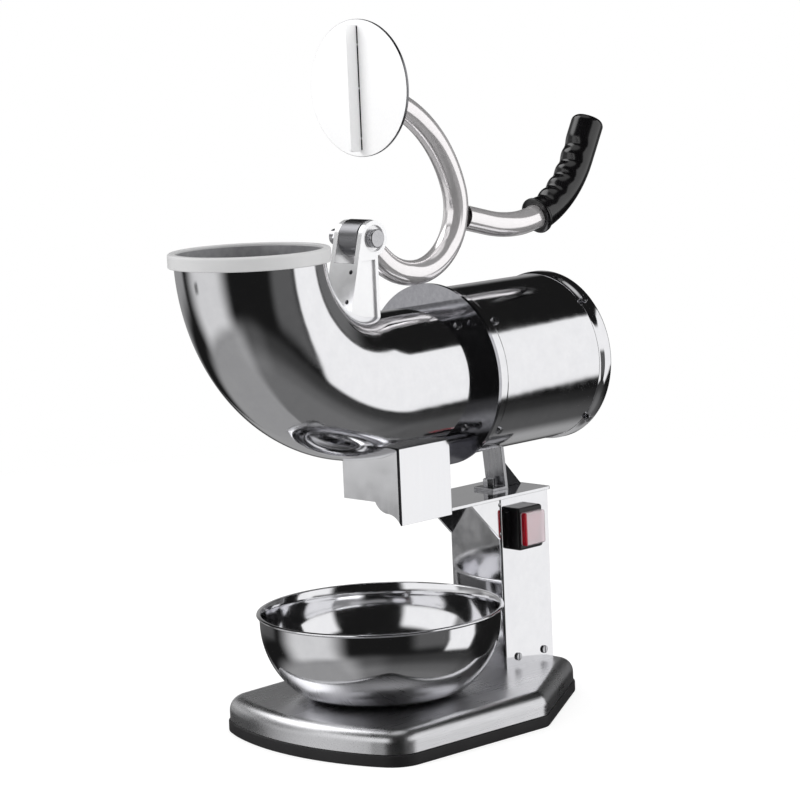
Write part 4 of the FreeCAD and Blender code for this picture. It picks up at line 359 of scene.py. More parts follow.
def cleaned(mesh):
    """Merges doubles, drops what has no size, and turns the faces outwards."""
    work = bmesh.new()
    work.from_mesh(mesh)
    bmesh.ops.remove_doubles(work, verts=work.verts, dist=2e-6)
    bmesh.ops.dissolve_degenerate(work, edges=work.edges, dist=1e-7)
    bmesh.ops.recalc_face_normals(work, faces=work.faces)
    work.to_mesh(mesh)
    work.free()


def baked(rough_cut):
    """The mesh of an object with its modifiers applied; the object itself goes."""
    mesh = bpy.data.meshes.new_from_object(rough_cut.evaluated_get(bpy.context.evaluated_depsgraph_get()))
    bpy.data.objects.remove(rough_cut)
    return mesh


def skin(name, grid, finish, along=False, **kwargs):
    """A piece through rings grid[i] of points in millimetres. A ring that shrinks to a point is a pole."""
    return settle(name, mesh_of(name, grid, quads_of(grid.shape, along=along), [finish]), **kwargs)


def settle(name, mesh, body="machine", slot="polished_steel", replaces=(), crease=40):
    """Cleans a mesh, shades it smooth with sharp creases, and rides it on a body."""
    cleaned(mesh)
    mesh.shade_smooth()
    mesh.set_sharp_from_angle(angle=math.radians(crease))
    piece = placed(name, mesh)
    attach(piece, body)
    if replaces:
        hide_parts(*replaces)
    print(f"{name}: {len(mesh.polygons)} faces, box", [round(1000 * x) for x in piece.dimensions], "mm")
    return piece


def drawn_in(ring, shares, middle=None):
    """Copies of a ring of points drawn in towards its middle: 1 is the ring itself, 0 a point."""
    middle = ring.mean(axis=0) if middle is None else np.asarray(middle, float)
    return [middle + (ring - middle) * share for share in shares]


def rounded(corners, radius, closed=False, steps=5):
    """A line through corners with an arc at each: the arc leaves each leg at radius * tan(half the
    turn) from the corner, and its points are sin and 1 - cos of the turn so far. One more point 0.3
    of the radius before and after keeps flats flat."""
    corners = np.asarray(corners, float)
    radius = np.broadcast_to(np.asarray(radius, float), (len(corners),))
    before, after = np.roll(corners, 1, axis=0), np.roll(corners, -1, axis=0)
    pick = np.arange(len(corners)) if closed else np.arange(1, len(corners) - 1)
    c, r = corners[pick], radius[pick, None]
    d1 = (c - before[pick]) / np.linalg.norm(c - before[pick], axis=1, keepdims=True)
    d2 = (after[pick] - c) / np.linalg.norm(after[pick] - c, axis=1, keepdims=True)
    cosine = np.clip((d1 * d2).sum(1, keepdims=True), -1, 1)
    turn = np.arccos(cosine)
    inward = (d2 - d1 * cosine) / np.maximum(np.sin(turn), 1e-9)
    lead = r * np.tan(turn / 2)
    sweep = np.linspace(0, 1, steps)[None, :, None] * turn[:, None]
    arc = (c - d1 * lead)[:, None] + r[:, None] * (
        np.sin(sweep) * d1[:, None] + (1 - np.cos(sweep)) * inward[:, None])
    guarded = lead + 0.3 * r
    arc = np.concatenate([(c - d1 * guarded)[:, None], arc, (c + d2 * guarded)[:, None]], axis=1)
    line = arc.reshape(-1, corners.shape[1])
    return line if closed else np.concatenate([corners[:1], line, corners[-1:]])


def turned(name, profile, centre, axis, finish, count=256, closed=True, **kwargs):
    """Spins a profile of (radius, height) round an axis: x = r sin t, y = r cos t, height along the axis."""
    t = np.linspace(0, 2 * np.pi, count, endpoint=False)
    a, b, h = profile[:, :1] * np.sin(t), profile[:, :1] * np.cos(t), profile[:, 1:]
    points = points_of(*{"Z": (a, b, h), "Y": (a, h, b)}[axis]) + np.asarray(centre, float)
    return skin(name, points, finish, along=closed, **kwargs)


print("a right angle rounded to 1 mm takes", len(rounded([(0, 0), (10, 0), (10, 10)], 1.0)), "points")

# %% [markdown]
# ## Bowl
# The bowl is spun from one disc of sheet on a lathe, so a profile turned round an axis is exactly
# how it is made. The wall is 1 mm thick, the foot is flat, and the rim is folded out to a small lip.

# %% Bowl
bowl_low, bowl_high = np.array(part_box("bowl")) / MM
bowl_axis = np.array([0.0, (bowl_low[1] + bowl_high[1]) / 2, bowl_low[2]])
foot_r, foot_bend, side_bend = 40.0, 26.0, 55.0
foot_slope, side_slope = math.radians(40), math.radians(88)
bowl_wall, bowl_rise = 1.0, bowl_high[2] - bowl_low[2]


def bowl_side(inset):
    """Foot, arc of the foot's bend, arc of the side and the straight rim, moved inwards by inset."""
    a = np.linspace(0, foot_slope, 14)[:, None]
    b = np.linspace(foot_slope, side_slope, 26)[1:, None]
    low = np.hstack([foot_r + (foot_bend - inset) * np.sin(a), inset + (foot_bend - inset) * (1 - np.cos(a))])
    start_r, start_h = foot_r + foot_bend * np.sin(foot_slope), foot_bend * (1 - np.cos(foot_slope))
    high = np.hstack([start_r + side_bend * (np.sin(b) - np.sin(foot_slope)) - inset * np.sin(b),
                      start_h + side_bend * (np.cos(foot_slope) - np.cos(b)) + inset * np.cos(b)])
    return np.concatenate([[[0.0, inset]], low, high])


outside, inside = bowl_side(0.0), bowl_side(bowl_wall)
side_r, rim_r = outside[-1, 0], bowl_high[1] - bowl_axis[1]
lip = np.array([[side_r + 0.15, bowl_rise - 2.2], [rim_r - 0.5, bowl_rise - 1.4], [rim_r, bowl_rise - 0.8],
                [rim_r - 0.15, bowl_rise - 0.25], [rim_r - 0.6, bowl_rise], [side_r - 0.5, bowl_rise],
                [side_r - 0.95, bowl_rise - 0.6]])
turned("bowl_spun", np.concatenate([outside, lip, inside[::-1]]), bowl_axis, "Z", polished_steel, count=288,
       closed=False, body="bowl", replaces=("bowl",))

# %% [markdown]
# ## Feed tube
# A steel tube comes down from the mouth and bends to the motor's axis. Its grid runs along a path of
# one quarter circle and one straight, with a circle of points at each step. The rows and columns
# are placed so that the opening above the chute falls on grid lines and can be left out of the mesh.

# %% Feed tube
AXIS_Z, BEND_Y, BEND_R, TUBE_R = 218.5, -32.0, 93.0, 45.5
PIVOT = np.array([0.0, BEND_Y, AXIS_Z + BEND_R])
tube_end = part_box("front_flange")[0][1] / MM + 12.0
TUBE_WALL, DROP_HALF, DROP_FRONT, DROP_BACK = 1.0, 23.8, -24.0, 12.3
drop_side = math.asin(DROP_HALF / TUBE_R)
quarter = np.linspace(-np.pi / 2, 0, 72)
path_y = np.concatenate([BEND_Y + BEND_R * np.sin(quarter), [DROP_FRONT, -12.0, 0.0, DROP_BACK, tube_end]])
path_z = np.concatenate([PIVOT[2] - BEND_R * np.cos(quarter), np.full(5, AXIS_Z)])
heading = np.concatenate([quarter, np.zeros(5)])[:, None]
drop_turns = np.linspace(-drop_side, drop_side, 44, endpoint=False)
turns = np.concatenate([drop_turns, np.linspace(drop_side, 2 * np.pi - drop_side, 212, endpoint=False)])
outward = points_of(np.sin(turns), np.sin(heading) * np.cos(turns), -np.cos(heading) * np.cos(turns))
shell_points = points_of(0.0, path_y, path_z)[:, None, :] + TUBE_R * outward
keep_cell = np.ones((len(path_y) - 1, len(turns)), bool)
over_drop = (path_y[:-1] >= DROP_FRONT) & (path_y[:-1] < DROP_BACK)
keep_cell[over_drop, :len(drop_turns)] = False
tube_quads = quads_of(shell_points.shape)[keep_cell]


def with_wall(name, points, quads, thickness, finish, inner, middle=(), **kwargs):
    """An open sheet given its thickness by Solidify, with another finish inside, as a plain mesh."""
    sheet = placed(name + "_sheet", mesh_of(name, points, quads, [finish, inner], middle))
    cleaned(sheet.data)
    solidify = sheet.modifiers.new("wall", "SOLIDIFY")
    solidify.thickness, solidify.offset, solidify.use_even_offset = thickness * MM, -1.0, True
    solidify.material_offset = 1
    made = baked(sheet)
    made.name = name
    return settle(name, made, **kwargs)


with_wall("feed_elbow", shell_points, tube_quads, TUBE_WALL, polished_steel, tube_inside, replaces=("feed_tube",))

# %% [markdown]
# ## Mouth ring
# A ring of pale grey plastic is pushed over the tube's edge, so that hands and ice don't meet raw
# sheet. A torus would be quicker, but the ring has flat sides that catch the light as bands, so it is
# turned from a small profile: a skirt outside, a rounded top and a lip inside.

# %% Mouth ring
ring_centre = [0.0, BEND_Y - BEND_R, PIVOT[2]]
ring_profile = rounded([(46.3, -7.1), (49.0, -7.1), (49.0, 1.5), (44.5, 1.5), (44.5, -0.6), (46.3, -0.6)],
                       [0.5, 0.7, 1.6, 0.8, 0.3, 0.3], closed=True)
turned("mouth_ring_moulded", ring_profile, ring_centre, "Z", ring_plastic, slot="grey_plastic",
       replaces=("mouth_ring",))

# %% [markdown]
# ## Motor cover
# The cover is a rolled steel tube. A step near the front, pressed 0.6 mm proud, stiffens the end that
# slips over the motor's flange. It could be a plain cylinder, but turning a profile gives the step
# its small radii, and they draw the bright line between cover and flange.

# %% Motor cover
shell_low, shell_high = np.array(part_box("motor_shell")) / MM
cover_r, cover_wall, step_rise, step_length, step_ramp = 54.3, 1.0, 0.6, 9.4, 0.9
cover_front, cover_back = shell_low[1], shell_high[1]
step_r, step_end = cover_r + step_rise, cover_front + step_length
cover_profile = rounded([(cover_r - cover_wall, cover_front), (step_r, cover_front), (step_r, step_end),
                         (cover_r, step_end + step_ramp), (cover_r, cover_back),
                         (cover_r - cover_wall, cover_back)], [0.3, 0.3, 0.8, 0.8, 0.3, 0.3], closed=True)
turned("motor_cover", cover_profile, [0, 0, AXIS_Z], "Y", polished_steel, count=320, replaces=("motor_shell",))

# %% [markdown]
# ## Rear cap
# The cap is drawn from one sheet and slipped over the cover's end, with sixteen slots for the
# cooling air. It is a sheet of rings like a dartboard: from the middle out to the rounded edge and
# forward along the skirt, which eases down to the cover over its last 5 mm. A boolean could cut the
# slots, but it leaves ragged faces, so rings and spokes fall on the slots' edges and their cells are
# left out before the sheet gets its wall.

# %% Rear cap
cap_low, cap_high = np.array(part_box("rear_cap")) / MM
cap_r, cap_back = cap_high[0], cap_high[1]
edge_bend, skirt_end_r, ease_length, cap_wall = 1.8, 54.45, 5, 1.2
slots, slot_share, slot_from, slot_to = 16, 0.3, 20, 42
bend_turn, along_ease = np.linspace(0, np.pi / 2, 8), np.linspace(0, 1, 9)
face_rings = [0.5, 10, slot_from, *np.linspace(21, slot_to, 6), 46, cap_r - edge_bend - 1]
cap_radius = np.concatenate([face_rings, cap_r - edge_bend + edge_bend * np.sin(bend_turn),
                             cap_r - (cap_r - skirt_end_r) * along_ease ** 2 * (3 - 2 * along_ease)])
cap_y = np.concatenate([np.full(len(face_rings), cap_back), cap_back - edge_bend + edge_bend * np.cos(bend_turn),
                        cap_low[1] + ease_length * (1 - along_ease)])
one_slot = np.concatenate([np.linspace(0, slot_share, 4, endpoint=False),
                           np.linspace(slot_share, 1, 12, endpoint=False)])
cap_turn = 2 * np.pi / slots * (np.arange(slots)[:, None] + one_slot - slot_share / 2).ravel()
cap_points = points_of(cap_radius[:, None] * np.sin(cap_turn), cap_y[:, None],
                       AXIS_Z + cap_radius[:, None] * np.cos(cap_turn))
in_ring = (cap_radius[:-1] >= slot_from) & (cap_radius[:-1] < slot_to)
in_slot = np.tile(one_slot < slot_share, slots)
cap_quads = quads_of(cap_points.shape)[~(in_ring[:, None] & in_slot)]
with_wall("rear_cap_drawn", cap_points, cap_quads, cap_wall, polished_steel, cast_aluminium,
          middle=range(len(cap_turn)), replaces=("rear_cap",))

# %% [markdown]
# ## Lever
# The arm is one bent steel tube: a long bend that follows a circle round the pivot, a tight curl
# under it and a gentle bend back to the hub. The handle is a second tube welded to it. Both follow
# a path in the machine's middle plane, made of straights and arcs, and a circle of points is
# carried along the path.

# %% Lever tubes


def course(p, q, heading, moves, step=2.0):
    """Points (p, q) and headings along a run. A move (length,) goes straight; a move (radius, turn)
    bends: p grows by radius * (sin h1 - sin h0), q by radius * (cos h0 - cos h1), mirrored for a right turn."""
    spots, headings = [np.array([[p, q]])], [np.array([heading])]
    for move in moves:
        if len(move) == 1:
            s = np.linspace(0, move[0], max(2, int(move[0] / step)))[1:]
            p_new, q_new, h_new = p + s * math.cos(heading), q + s * math.sin(heading), np.full(len(s), heading)
        else:
            radius, turn = move[0] * math.copysign(1, move[1]), move[1]
            h_new = heading + np.linspace(0, turn, max(4, int(abs(move[0] * turn) / step)))[1:]
            p_new = p + radius * (np.sin(h_new) - math.sin(heading))
            q_new = q - radius * (np.cos(h_new) - math.cos(heading))
        spots.append(np.stack([p_new, q_new], axis=1))
        headings.append(h_new)
        p, q, heading = p_new[-1], q_new[-1], h_new[-1]
    return np.concatenate(spots), np.concatenate(headings)


def round_bar(spots, headings, radius, count=56):
    """Rings along a path: the ring's sideways direction is X, its other one is square to the heading."""
    a = np.linspace(0, 2 * np.pi, count, endpoint=False)
    radius = np.broadcast_to(np.asarray(radius, float), (len(spots), count))
    lift, headings = radius * np.sin(a), headings[:, None]
    return points_of(radius * np.cos(a), PIVOT[1] + spots[:, :1] - lift * np.sin(headings),
                     PIVOT[2] + spots[:, 1:] + lift * np.cos(headings))


ARM_R, SWEEP_R, CURL_R, HUB_R, TAIL_SLOPE = 8.0, 88.0, 39.7, 11.5, math.radians(42.25)
ARM_BEHIND_DISC, INTO_HUB, CLEAR_OF_ARM = 9.8, 1.2, 3.5
sweep_from, sweep_to = math.asin(ARM_BEHIND_DISC / SWEEP_R), math.radians(74)
arm_start = (SWEEP_R * math.sin(sweep_from), SWEEP_R * math.cos(sweep_from), -sweep_from)
arm_moves = [(SWEEP_R, sweep_from - sweep_to), (CURL_R, sweep_to - math.pi)]
tail_p, tail_q = course(*arm_start, arm_moves)[0][-1]
tail_r = (tail_p * math.sin(TAIL_SLOPE) + tail_q * math.cos(TAIL_SLOPE)) / (1 - math.cos(TAIL_SLOPE))
tail_length = (tail_p - tail_r * math.sin(TAIL_SLOPE)) / math.cos(TAIL_SLOPE)
arm_spots, arm_headings = course(*arm_start, arm_moves + [(tail_r, -TAIL_SLOPE), (tail_length - HUB_R + INTO_HUB,)])
skin("lever_arm_tube", round_bar(arm_spots, arm_headings, ARM_R), satin_tube, body="lever",
     replaces=("lever_arm",))

LEAD, LEAD_R, LEAD_BEND, GRIP_BEND_R, GRIP_BEND = 29.0, 107.0, math.radians(14), 72.0, math.radians(62)
handle_start = (86.0, 6.3, -LEAD_BEND)
handle_moves = [(LEAD,), (LEAD_R, LEAD_BEND), (GRIP_BEND_R, GRIP_BEND), (18.0,)]
handle_spots, handle_headings = course(*handle_start, handle_moves)
clear_of_arm = np.linalg.norm(handle_spots, axis=1) > SWEEP_R + CLEAR_OF_ARM
skin("handle_bar_tube", round_bar(handle_spots[clear_of_arm], handle_headings[clear_of_arm], ARM_R), satin_tube,
     body="lever", replaces=("handle_tube",))

# %% [markdown]
# ## Hand grip
# The grip is a vinyl sleeve dipped or moulded over the tube, with a lip at its start, five finger
# bumps on the inside of the bend and a rounded end. Sculpted bumps would be uneven, so it is the same
# swept grid as the tube, with a radius that depends on the distance along it and the turn round it.

# %% Hand grip
GRIP_R, GRIP_START, GRIP_TAIL = 10.9, math.radians(17), 29.0
FINGERS, FIRST_FINGER, FINGER_PITCH, GROOVE_DEPTH, GROOVE_WIDTH = 5, 13.0, 12.5, 1.75, 3.4
LIP_RISE, LIP_END, START_BEND, END_BEND = 1.4, 2.9, 0.9, 4.5
lead_spots, lead_headings = course(*handle_start, [*handle_moves[:2], (GRIP_BEND_R, GRIP_START)])
grip_spots, grip_headings = course(*lead_spots[-1], lead_headings[-1],
                                   [(GRIP_BEND_R, GRIP_BEND - GRIP_START), (GRIP_TAIL,)], step=0.7)
grip_s = np.concatenate([[0], np.cumsum(np.linalg.norm(np.diff(grip_spots, axis=0), axis=1))])
to_end = grip_s[-1] - grip_s


def round_off(distance, bend):
    """How far a quarter circle of radius bend lowers the surface at a distance from an end."""
    return bend * (1 - np.sqrt(1 - (1 - np.clip(distance / bend, 0, 1)) ** 2))


grip_turn = np.linspace(0, 2 * np.pi, 96, endpoint=False)
from_groove = np.abs(grip_s[:, None] - (FIRST_FINGER + FINGER_PITCH * np.arange(FINGERS))).min(axis=1)
groove = GROOVE_DEPTH * np.exp(-(from_groove / GROOVE_WIDTH) ** 2) * np.clip((to_end - 3) / 6, 0, 1)
inner_side = np.clip(np.sin(grip_turn), 0, 1) ** 1.6
lip_rise = LIP_RISE / (1 + np.exp((grip_s - LIP_END) / 0.28))
plain_radius = GRIP_R - round_off(grip_s, START_BEND) - round_off(to_end, END_BEND) + lip_rise
grip_body = round_bar(grip_spots, grip_headings, plain_radius[:, None] - groove[:, None] * inner_side, count=96)
opening = drawn_in(grip_body[0], [ARM_R / (GRIP_R - START_BEND + LIP_RISE)])
closing = drawn_in(grip_body[-1], [0.6, 0.25, 0.0])
skin("hand_grip_sleeve", np.concatenate([opening, grip_body, closing]), grip_vinyl, body="lever",
     slot="black_grip", replaces=("hand_grip",), crease=60)

# %% [markdown]
# ## Press disc
# The disc is turned from 2 mm plate with a softened edge, and its two screws are ground flush and
# blasted over, so the plate's surface stands for them too. The rim takes the darker turned steel of
# the hub, which paints the shade along the rim as a dark outline: its faces are the ones whose
# normals don't point along the machine.

# %% Press disc
disc_low, disc_high = np.array(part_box("press_disc")) / MM
disc_mid = [0.0, 0.0, (disc_low[2] + disc_high[2]) / 2]
disc_r = (disc_high[0] - disc_low[0]) / 2
disc_profile = rounded([(0.0, disc_low[1]), (disc_r, disc_low[1]), (disc_r, disc_high[1]), (0.0, disc_high[1])],
                       [0, 0.45, 0.45, 0])
disc_plate = turned("press_disc_plate", disc_profile, disc_mid, "Y", blasted_steel, closed=False, body="lever",
                    replaces=("press_disc", "disc_screws"))
# The rim's darker steel is painted shade: a dark outline round the disc.
disc_plate.data.materials.append(hub_steel)
disc_faces = disc_plate.data.polygons
facing = np.zeros(3 * len(disc_faces), np.float32)
disc_faces.foreach_get("normal", facing)
disc_faces.foreach_set("material_index", (np.abs(facing[1::3]) < 0.9).astype(np.int32))

# %% [markdown]
# ## Painted shade lines at the fin's root
# A thin fin stands upright across the disc and keeps the ice from turning with the blades. It is
# welded on, and the shade in the corner along each side of its root is painted as a dark line. A
# flat painted line would have no shadow of its own, so each painted shade line is a thin near-black
# bar whose radius shrinks at three nicks and at both ends.

# %% Painted shade lines at the fin's root
fin_low, fin_high = np.array(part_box("disc_fin")) / MM
SEAM_R, SEAM_OUT, NICK_HALF = 0.5, 0.15, 0.8
seam_z = np.linspace(fin_low[2] + SEAM_R, fin_high[2] - SEAM_R, 120)
nick_gap = np.abs(seam_z[:, None] - [fin_low[2] + 8, disc_mid[2], fin_high[2] - 12]).min(axis=1)
end_gap = np.minimum(seam_z - seam_z[0], seam_z[-1] - seam_z)
seam_r = SEAM_R * np.clip(nick_gap / NICK_HALF, 0.3, 1) * np.clip((end_gap + 0.1) / 0.5, 0, 1)
seam_turn = np.linspace(0, 2 * np.pi, 10, endpoint=False)
# Each bar is painted shade: a near-black line where the corner at the fin's root lies in shade.
for seam_side in (-1, 1):
    seam = points_of(seam_side * (fin_high[0] + SEAM_OUT) + seam_r[:, None] * np.cos(seam_turn),
                     disc_low[1] + seam_r[:, None] * np.sin(seam_turn), seam_z[:, None])
    seam = np.concatenate([drawn_in(seam[0], [0.0]), seam, drawn_in(seam[-1], [0.0])])
    skin(f"fin_root_shade_line_{seam_side}", seam, rib_steel, body="lever")

# %% [markdown]
# ## Base
# The base is one pressed steel sheet over a rubber tray. Its outline has a bowed front, straight
# sides and a narrower back with rounded corners, and the top edge is rolled over a 9 mm radius. The
# outline is one closed line, and a small profile is carried round it: up, round the edge and in.

# %% Base outline
FRONT_HALF, WIDE_HALF, BACK_HALF, WIDE_Y, END_Y, BOW_R = 80.0, 85.0, 35.0, 30.0, 113.0, 172.0
FRONT_CORNER, BACK_CORNER = 20.0, 13.0


def base_line(out):
    """The corners of the base seen from above, moved outwards, and the radius of each. The bow is a
    circle of close points, without the four next to each front corner, which gives the corner room."""
    bow = BOW_R + out
    edge = math.asin((FRONT_HALF + out) / bow)
    arc = np.linspace(-edge, edge, 41)[[0, *range(5, 36), 40]]
    bowed = np.stack([bow * np.sin(arc), bow - END_Y - out - bow * np.cos(arc)], axis=1)
    wide, back_half, wide_y, end_y = WIDE_HALF + out, BACK_HALF + 0.6 * out, WIDE_Y + 0.3 * out, END_Y + out
    rest = [(wide, wide_y), (back_half, end_y), (-back_half, end_y), (-wide, wide_y)]
    front_corner = [FRONT_CORNER + out]
    radius = front_corner + [0.5] * (len(arc) - 2) + front_corner + [BACK_CORNER + out] * len(rest)
    return np.concatenate([bowed, rest]), radius


def smooth_loop(out, count=420):
    """The rounded outline as evenly spaced points."""
    line = rounded(*base_line(out), closed=True, steps=14)
    line = np.concatenate([line, line[:1]])
    run = np.concatenate([[0], np.cumsum(np.linalg.norm(np.diff(line, axis=0), axis=1))])
    at = np.linspace(0, run[-1], count, endpoint=False)
    return np.stack([np.interp(at, run, line[:, 0]), np.interp(at, run, line[:, 1])], axis=1)


def offset_loop(loop, inward):
    """Moves each point of a closed line inwards, square to the line."""
    along = np.roll(loop, -1, axis=0) - np.roll(loop, 1, axis=0)
    along /= np.linalg.norm(along, axis=1, keepdims=True)
    return loop + inward * np.stack([-along[:, 1], along[:, 0]], axis=1)


def carried(loop, profile, middle):
    """Carries a profile of (inward distance, height) round a closed line, and closes it to a point."""
    rings = np.stack([np.concatenate([offset_loop(loop, inward), np.full((len(loop), 1), height)], axis=1)
                      for inward, height in profile])
    return np.concatenate([rings, drawn_in(rings[-1], np.linspace(1, 0, 9)[1:], middle)])


TRAY_TOP, BASE_TOP, EDGE_R = 7.5, 22.5, 9.0
roll = np.linspace(0, np.pi / 2, 14)
rolled_edge = np.stack([EDGE_R * (1 - np.cos(roll)), BASE_TOP - EDGE_R + EDGE_R * np.sin(roll)], axis=1)
base_profile = np.concatenate([[(1.2, TRAY_TOP), (0.25, TRAY_TOP), (0.0, TRAY_TOP + 0.25), (0.0, TRAY_TOP + 1.0),
                                (0.0, BASE_TOP - EDGE_R - 1.0)], rolled_edge, [(EDGE_R + 0.6, BASE_TOP)]])
skin("base_pressing", carried(smooth_loop(0.0), base_profile, [0, 0, BASE_TOP]), brushed_steel,
     slot="brushed_steel", replaces=("base_shell",))

# %% [markdown]
# ## Rubber tray
# The tray is moulded rubber, 1 mm proud of the steel all round, so that the base stands on rubber
# and never scratches a worktop. It could be a copy of the base's mesh, but its own profile carried
# round the same line gives it the softer edges of rubber.

# %% Rubber tray
tray_profile = [(2.2, TRAY_TOP), (0.9, TRAY_TOP), (0.35, TRAY_TOP - 0.15), (0.08, TRAY_TOP - 0.5),
                (0.0, TRAY_TOP - 1.0), (0.0, 1.2), (0.15, 0.5), (0.6, 0.08), (1.2, 0.0), (14.0, 0.0)]
skin("tray_moulding", carried(smooth_loop(1.0), tray_profile, [0, 0, 0]), black_rubber, slot="black_rubber",
     replaces=("base_tray",))

# %% [markdown]
# ## Eased edges for the sheet parts
# A real edge is never perfectly sharp: folding, grinding and polishing leave a small radius, and in
# a mirror room that radius draws a fine bright or dark line along every edge. The flat parts keep
# the shapes of the CAD, and each gets such an edge: a copy of its mesh is merged, the triangles of
# each flat face are joined again, and a narrow bevel runs along every real edge. The normals are
# weighted by area, so that the large flats stay flat mirrors and only the bevels look curved.

# %% Ease the edges
EASED = {
    "column_shell": (0.35, polished_steel), "column_cover": (0.3, brushed_steel), "top_plate": (0.5, polished_steel),
    "gussets": (0.3, polished_steel), "neck_bracket": (0.5, neck_steel), "neck_rib": (0.3, rib_steel),
    "ice_chute": (0.45, grained_sheet), "lever_bracket": (0.4, satin_sheet), "front_flange": (0.5, turned_steel),
    "lever_hub": (0.6, hub_steel), "disc_boss": (0.3, satin_tube),
    "disc_fin": (0.3, blasted_steel), "neck_bolt": (0.3, screw_steel),
}
body_of = {node: body for body, nodes in frame["record"]["behaviour"]["bodies"].items() for node in nodes}


def eased(node, width, finish):
    """A copy of a CAD node with its triangles merged into faces and its edges bevelled by width."""
    source = node_objects[node]
    work = bmesh.new()
    work.from_mesh(source.data)
    bmesh.ops.transform(work, matrix=source.matrix_world, verts=work.verts)
    bmesh.ops.remove_doubles(work, verts=work.verts, dist=2e-6)
    bmesh.ops.dissolve_limit(work, angle_limit=math.radians(1.0), verts=work.verts, edges=work.edges)
    bmesh.ops.recalc_face_normals(work, faces=work.faces)
    name = node + "_eased"
    mesh = bpy.data.meshes.new(name)
    work.to_mesh(mesh)
    work.free()
    mesh.shade_smooth()
    mesh.materials.append(finish)
    rough_cut = placed(node + "_sheet", mesh)
    soft = rough_cut.modifiers.new("edges", "BEVEL")
    soft.width, soft.segments, soft.limit_method = width * MM, 2, "ANGLE"
    soft.angle_limit, soft.use_clamp_overlap = math.radians(35), True
    flats = rough_cut.modifiers.new("flats", "WEIGHTED_NORMAL")
    flats.mode, flats.weight, flats.keep_sharp = "FACE_AREA", 90, False
    made = baked(rough_cut)
    made.name = name
    piece = placed(name, made)
    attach(piece, body_of[node])
    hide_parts(node)
    print(f"{node}: {len(made.polygons)} faces")


for eased_node, (edge_width, edge_finish) in EASED.items():
    eased(eased_node, edge_width, edge_finish)

# %% [markdown]
# ## Painted shade in the chute's gap
# The chute is two sheets welded from inside, and outside a thin gap stays open along its front
# corner, dark with shade. A real cut would let the light through, so the shade in the gap is
# painted: a dark tone in the finish, wherever a point lies in a narrow strip along the corner.

# %% Painted shade in the chute's gap
chute_low, chute_high = np.array(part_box("ice_chute")).tolist()
seam_across, seam_along = 1.1 * MM, 1.4 * MM
tree = grained_sheet.node_tree
spot = add(tree, "SeparateXYZ", {"Vector": add(tree, "TexCoord").outputs["Object"]})
at_side = add(tree, "Math", {0: spot.outputs["X"]}, operation="GREATER_THAN", in_1=chute_high[0] - seam_across)
at_front = add(tree, "Math", {0: spot.outputs["Y"]}, operation="LESS_THAN", in_1=chute_low[1] + seam_along)
in_seam = add(tree, "Math", {0: at_side, 1: at_front}, operation="MULTIPLY")
# Painted shade: the dark tone of the shaded gap, laid over the sheet's own tone.
tint(grained_sheet, in_seam, "#2C2C2E")
print("seam of", round(seam_across / MM, 1), "mm along the corner of the chute")

# %% [markdown]
# ## What the mirror sees
# Polished steel has no colour of its own: it shows the room. Product studios put large white sheets
# where the steel should be bright and black cards where it should be dark. Here a dome of cards
# stands round the machine. It is seen only in reflections, and it is open where the white
# background should show in the steel: one wide window to the right and one to the left front. The
# grey cards between them keep the dark parts of the steel from looking like holes.

# %% Dome of cards


def window(value, low, high, soft):
    """1 between low and high, 0 outside, with soft edges: two smooth steps multiplied."""
    step = np.clip([(value - low) / soft + 0.5, (high - value) / soft + 0.5], 0, 1)
    return (step * step * (3 - 2 * step)).prod(axis=0)


# The cards: how bright; from, to and softness of the turn; the same of the height.
CARDS = [
    (0.32, (-215, -74, 26), (-95, -33, 12)),  # floor, left and front
    (0.16, (-75, 62, 30), (-95, -46, 22)),  # floor, right
    (0.08, (-86, -45, 26), (-52, -30, 10)),  # farther floor, front
    (0.035, (-50, 62, 20), (-48, -31, 8)),  # farther floor, right
    (0.09, (62, 140, 16), (-70, -38, 12)),  # floor, behind
    (0.10, (-14, 22, 14), (-24, 4, 10)),  # right, at the horizon
    (0.14, (74, 118, 12), (-10, 14, 12)),  # behind, at the horizon
    (0.30, (122, 215, 16), (-14, 14, 12)),  # left and behind, the same
    (0.30, (-215, -165, 10), (-14, 14, 12)),  # left, at the horizon
    (0.26, (-190, -128, 16), (2, 30, 8)),  # left, above the horizon
    (2.2, (-184, -130, 16), (30, 64, 12)),  # left, high and bright
    (0.34, (104, 400, 24), (-95, -24, 12)),  # floor, left and behind
    (0.6, (-400, 400, 1), (66, 180, 12)),  # ceiling, all round
]


def studio(turn, height):
    """How open the dome is, and how bright its cards are, for directions in degrees: turn runs from +X
    to +Y, height is above the horizon."""
    right = window(turn, 25, 71, 5) * window(height, -11, 32, 4)
    right_low = window(turn - 0.3 * (height + 12), 25, 56, 4) * window(height, -29, -9, 4)
    right_top = window(turn, 4, 71, 8) * window(height, 4, 32, 6)
    left_top = window(turn, -128, -68, 8) * window(height, 4, 33, 8)
    opened = np.clip(right + right_low + right_top + left_top, 0, 1)
    column_spot = window(turn, -138, -131, 3) * window(height, -15.2, -11.2, 1.2)
    left_low = window(turn, -146, 400, 30) * window(turn, -400, -87, 26) * window(height, -33, 5, 9)
    cards = 0.011 + 0.70 * left_low * (1 - 0.8 * column_spot)
    for level, turn_span, height_span in CARDS:
        cards = cards + level * window(turn, *turn_span) * window(height, *height_span)
    return opened, cards


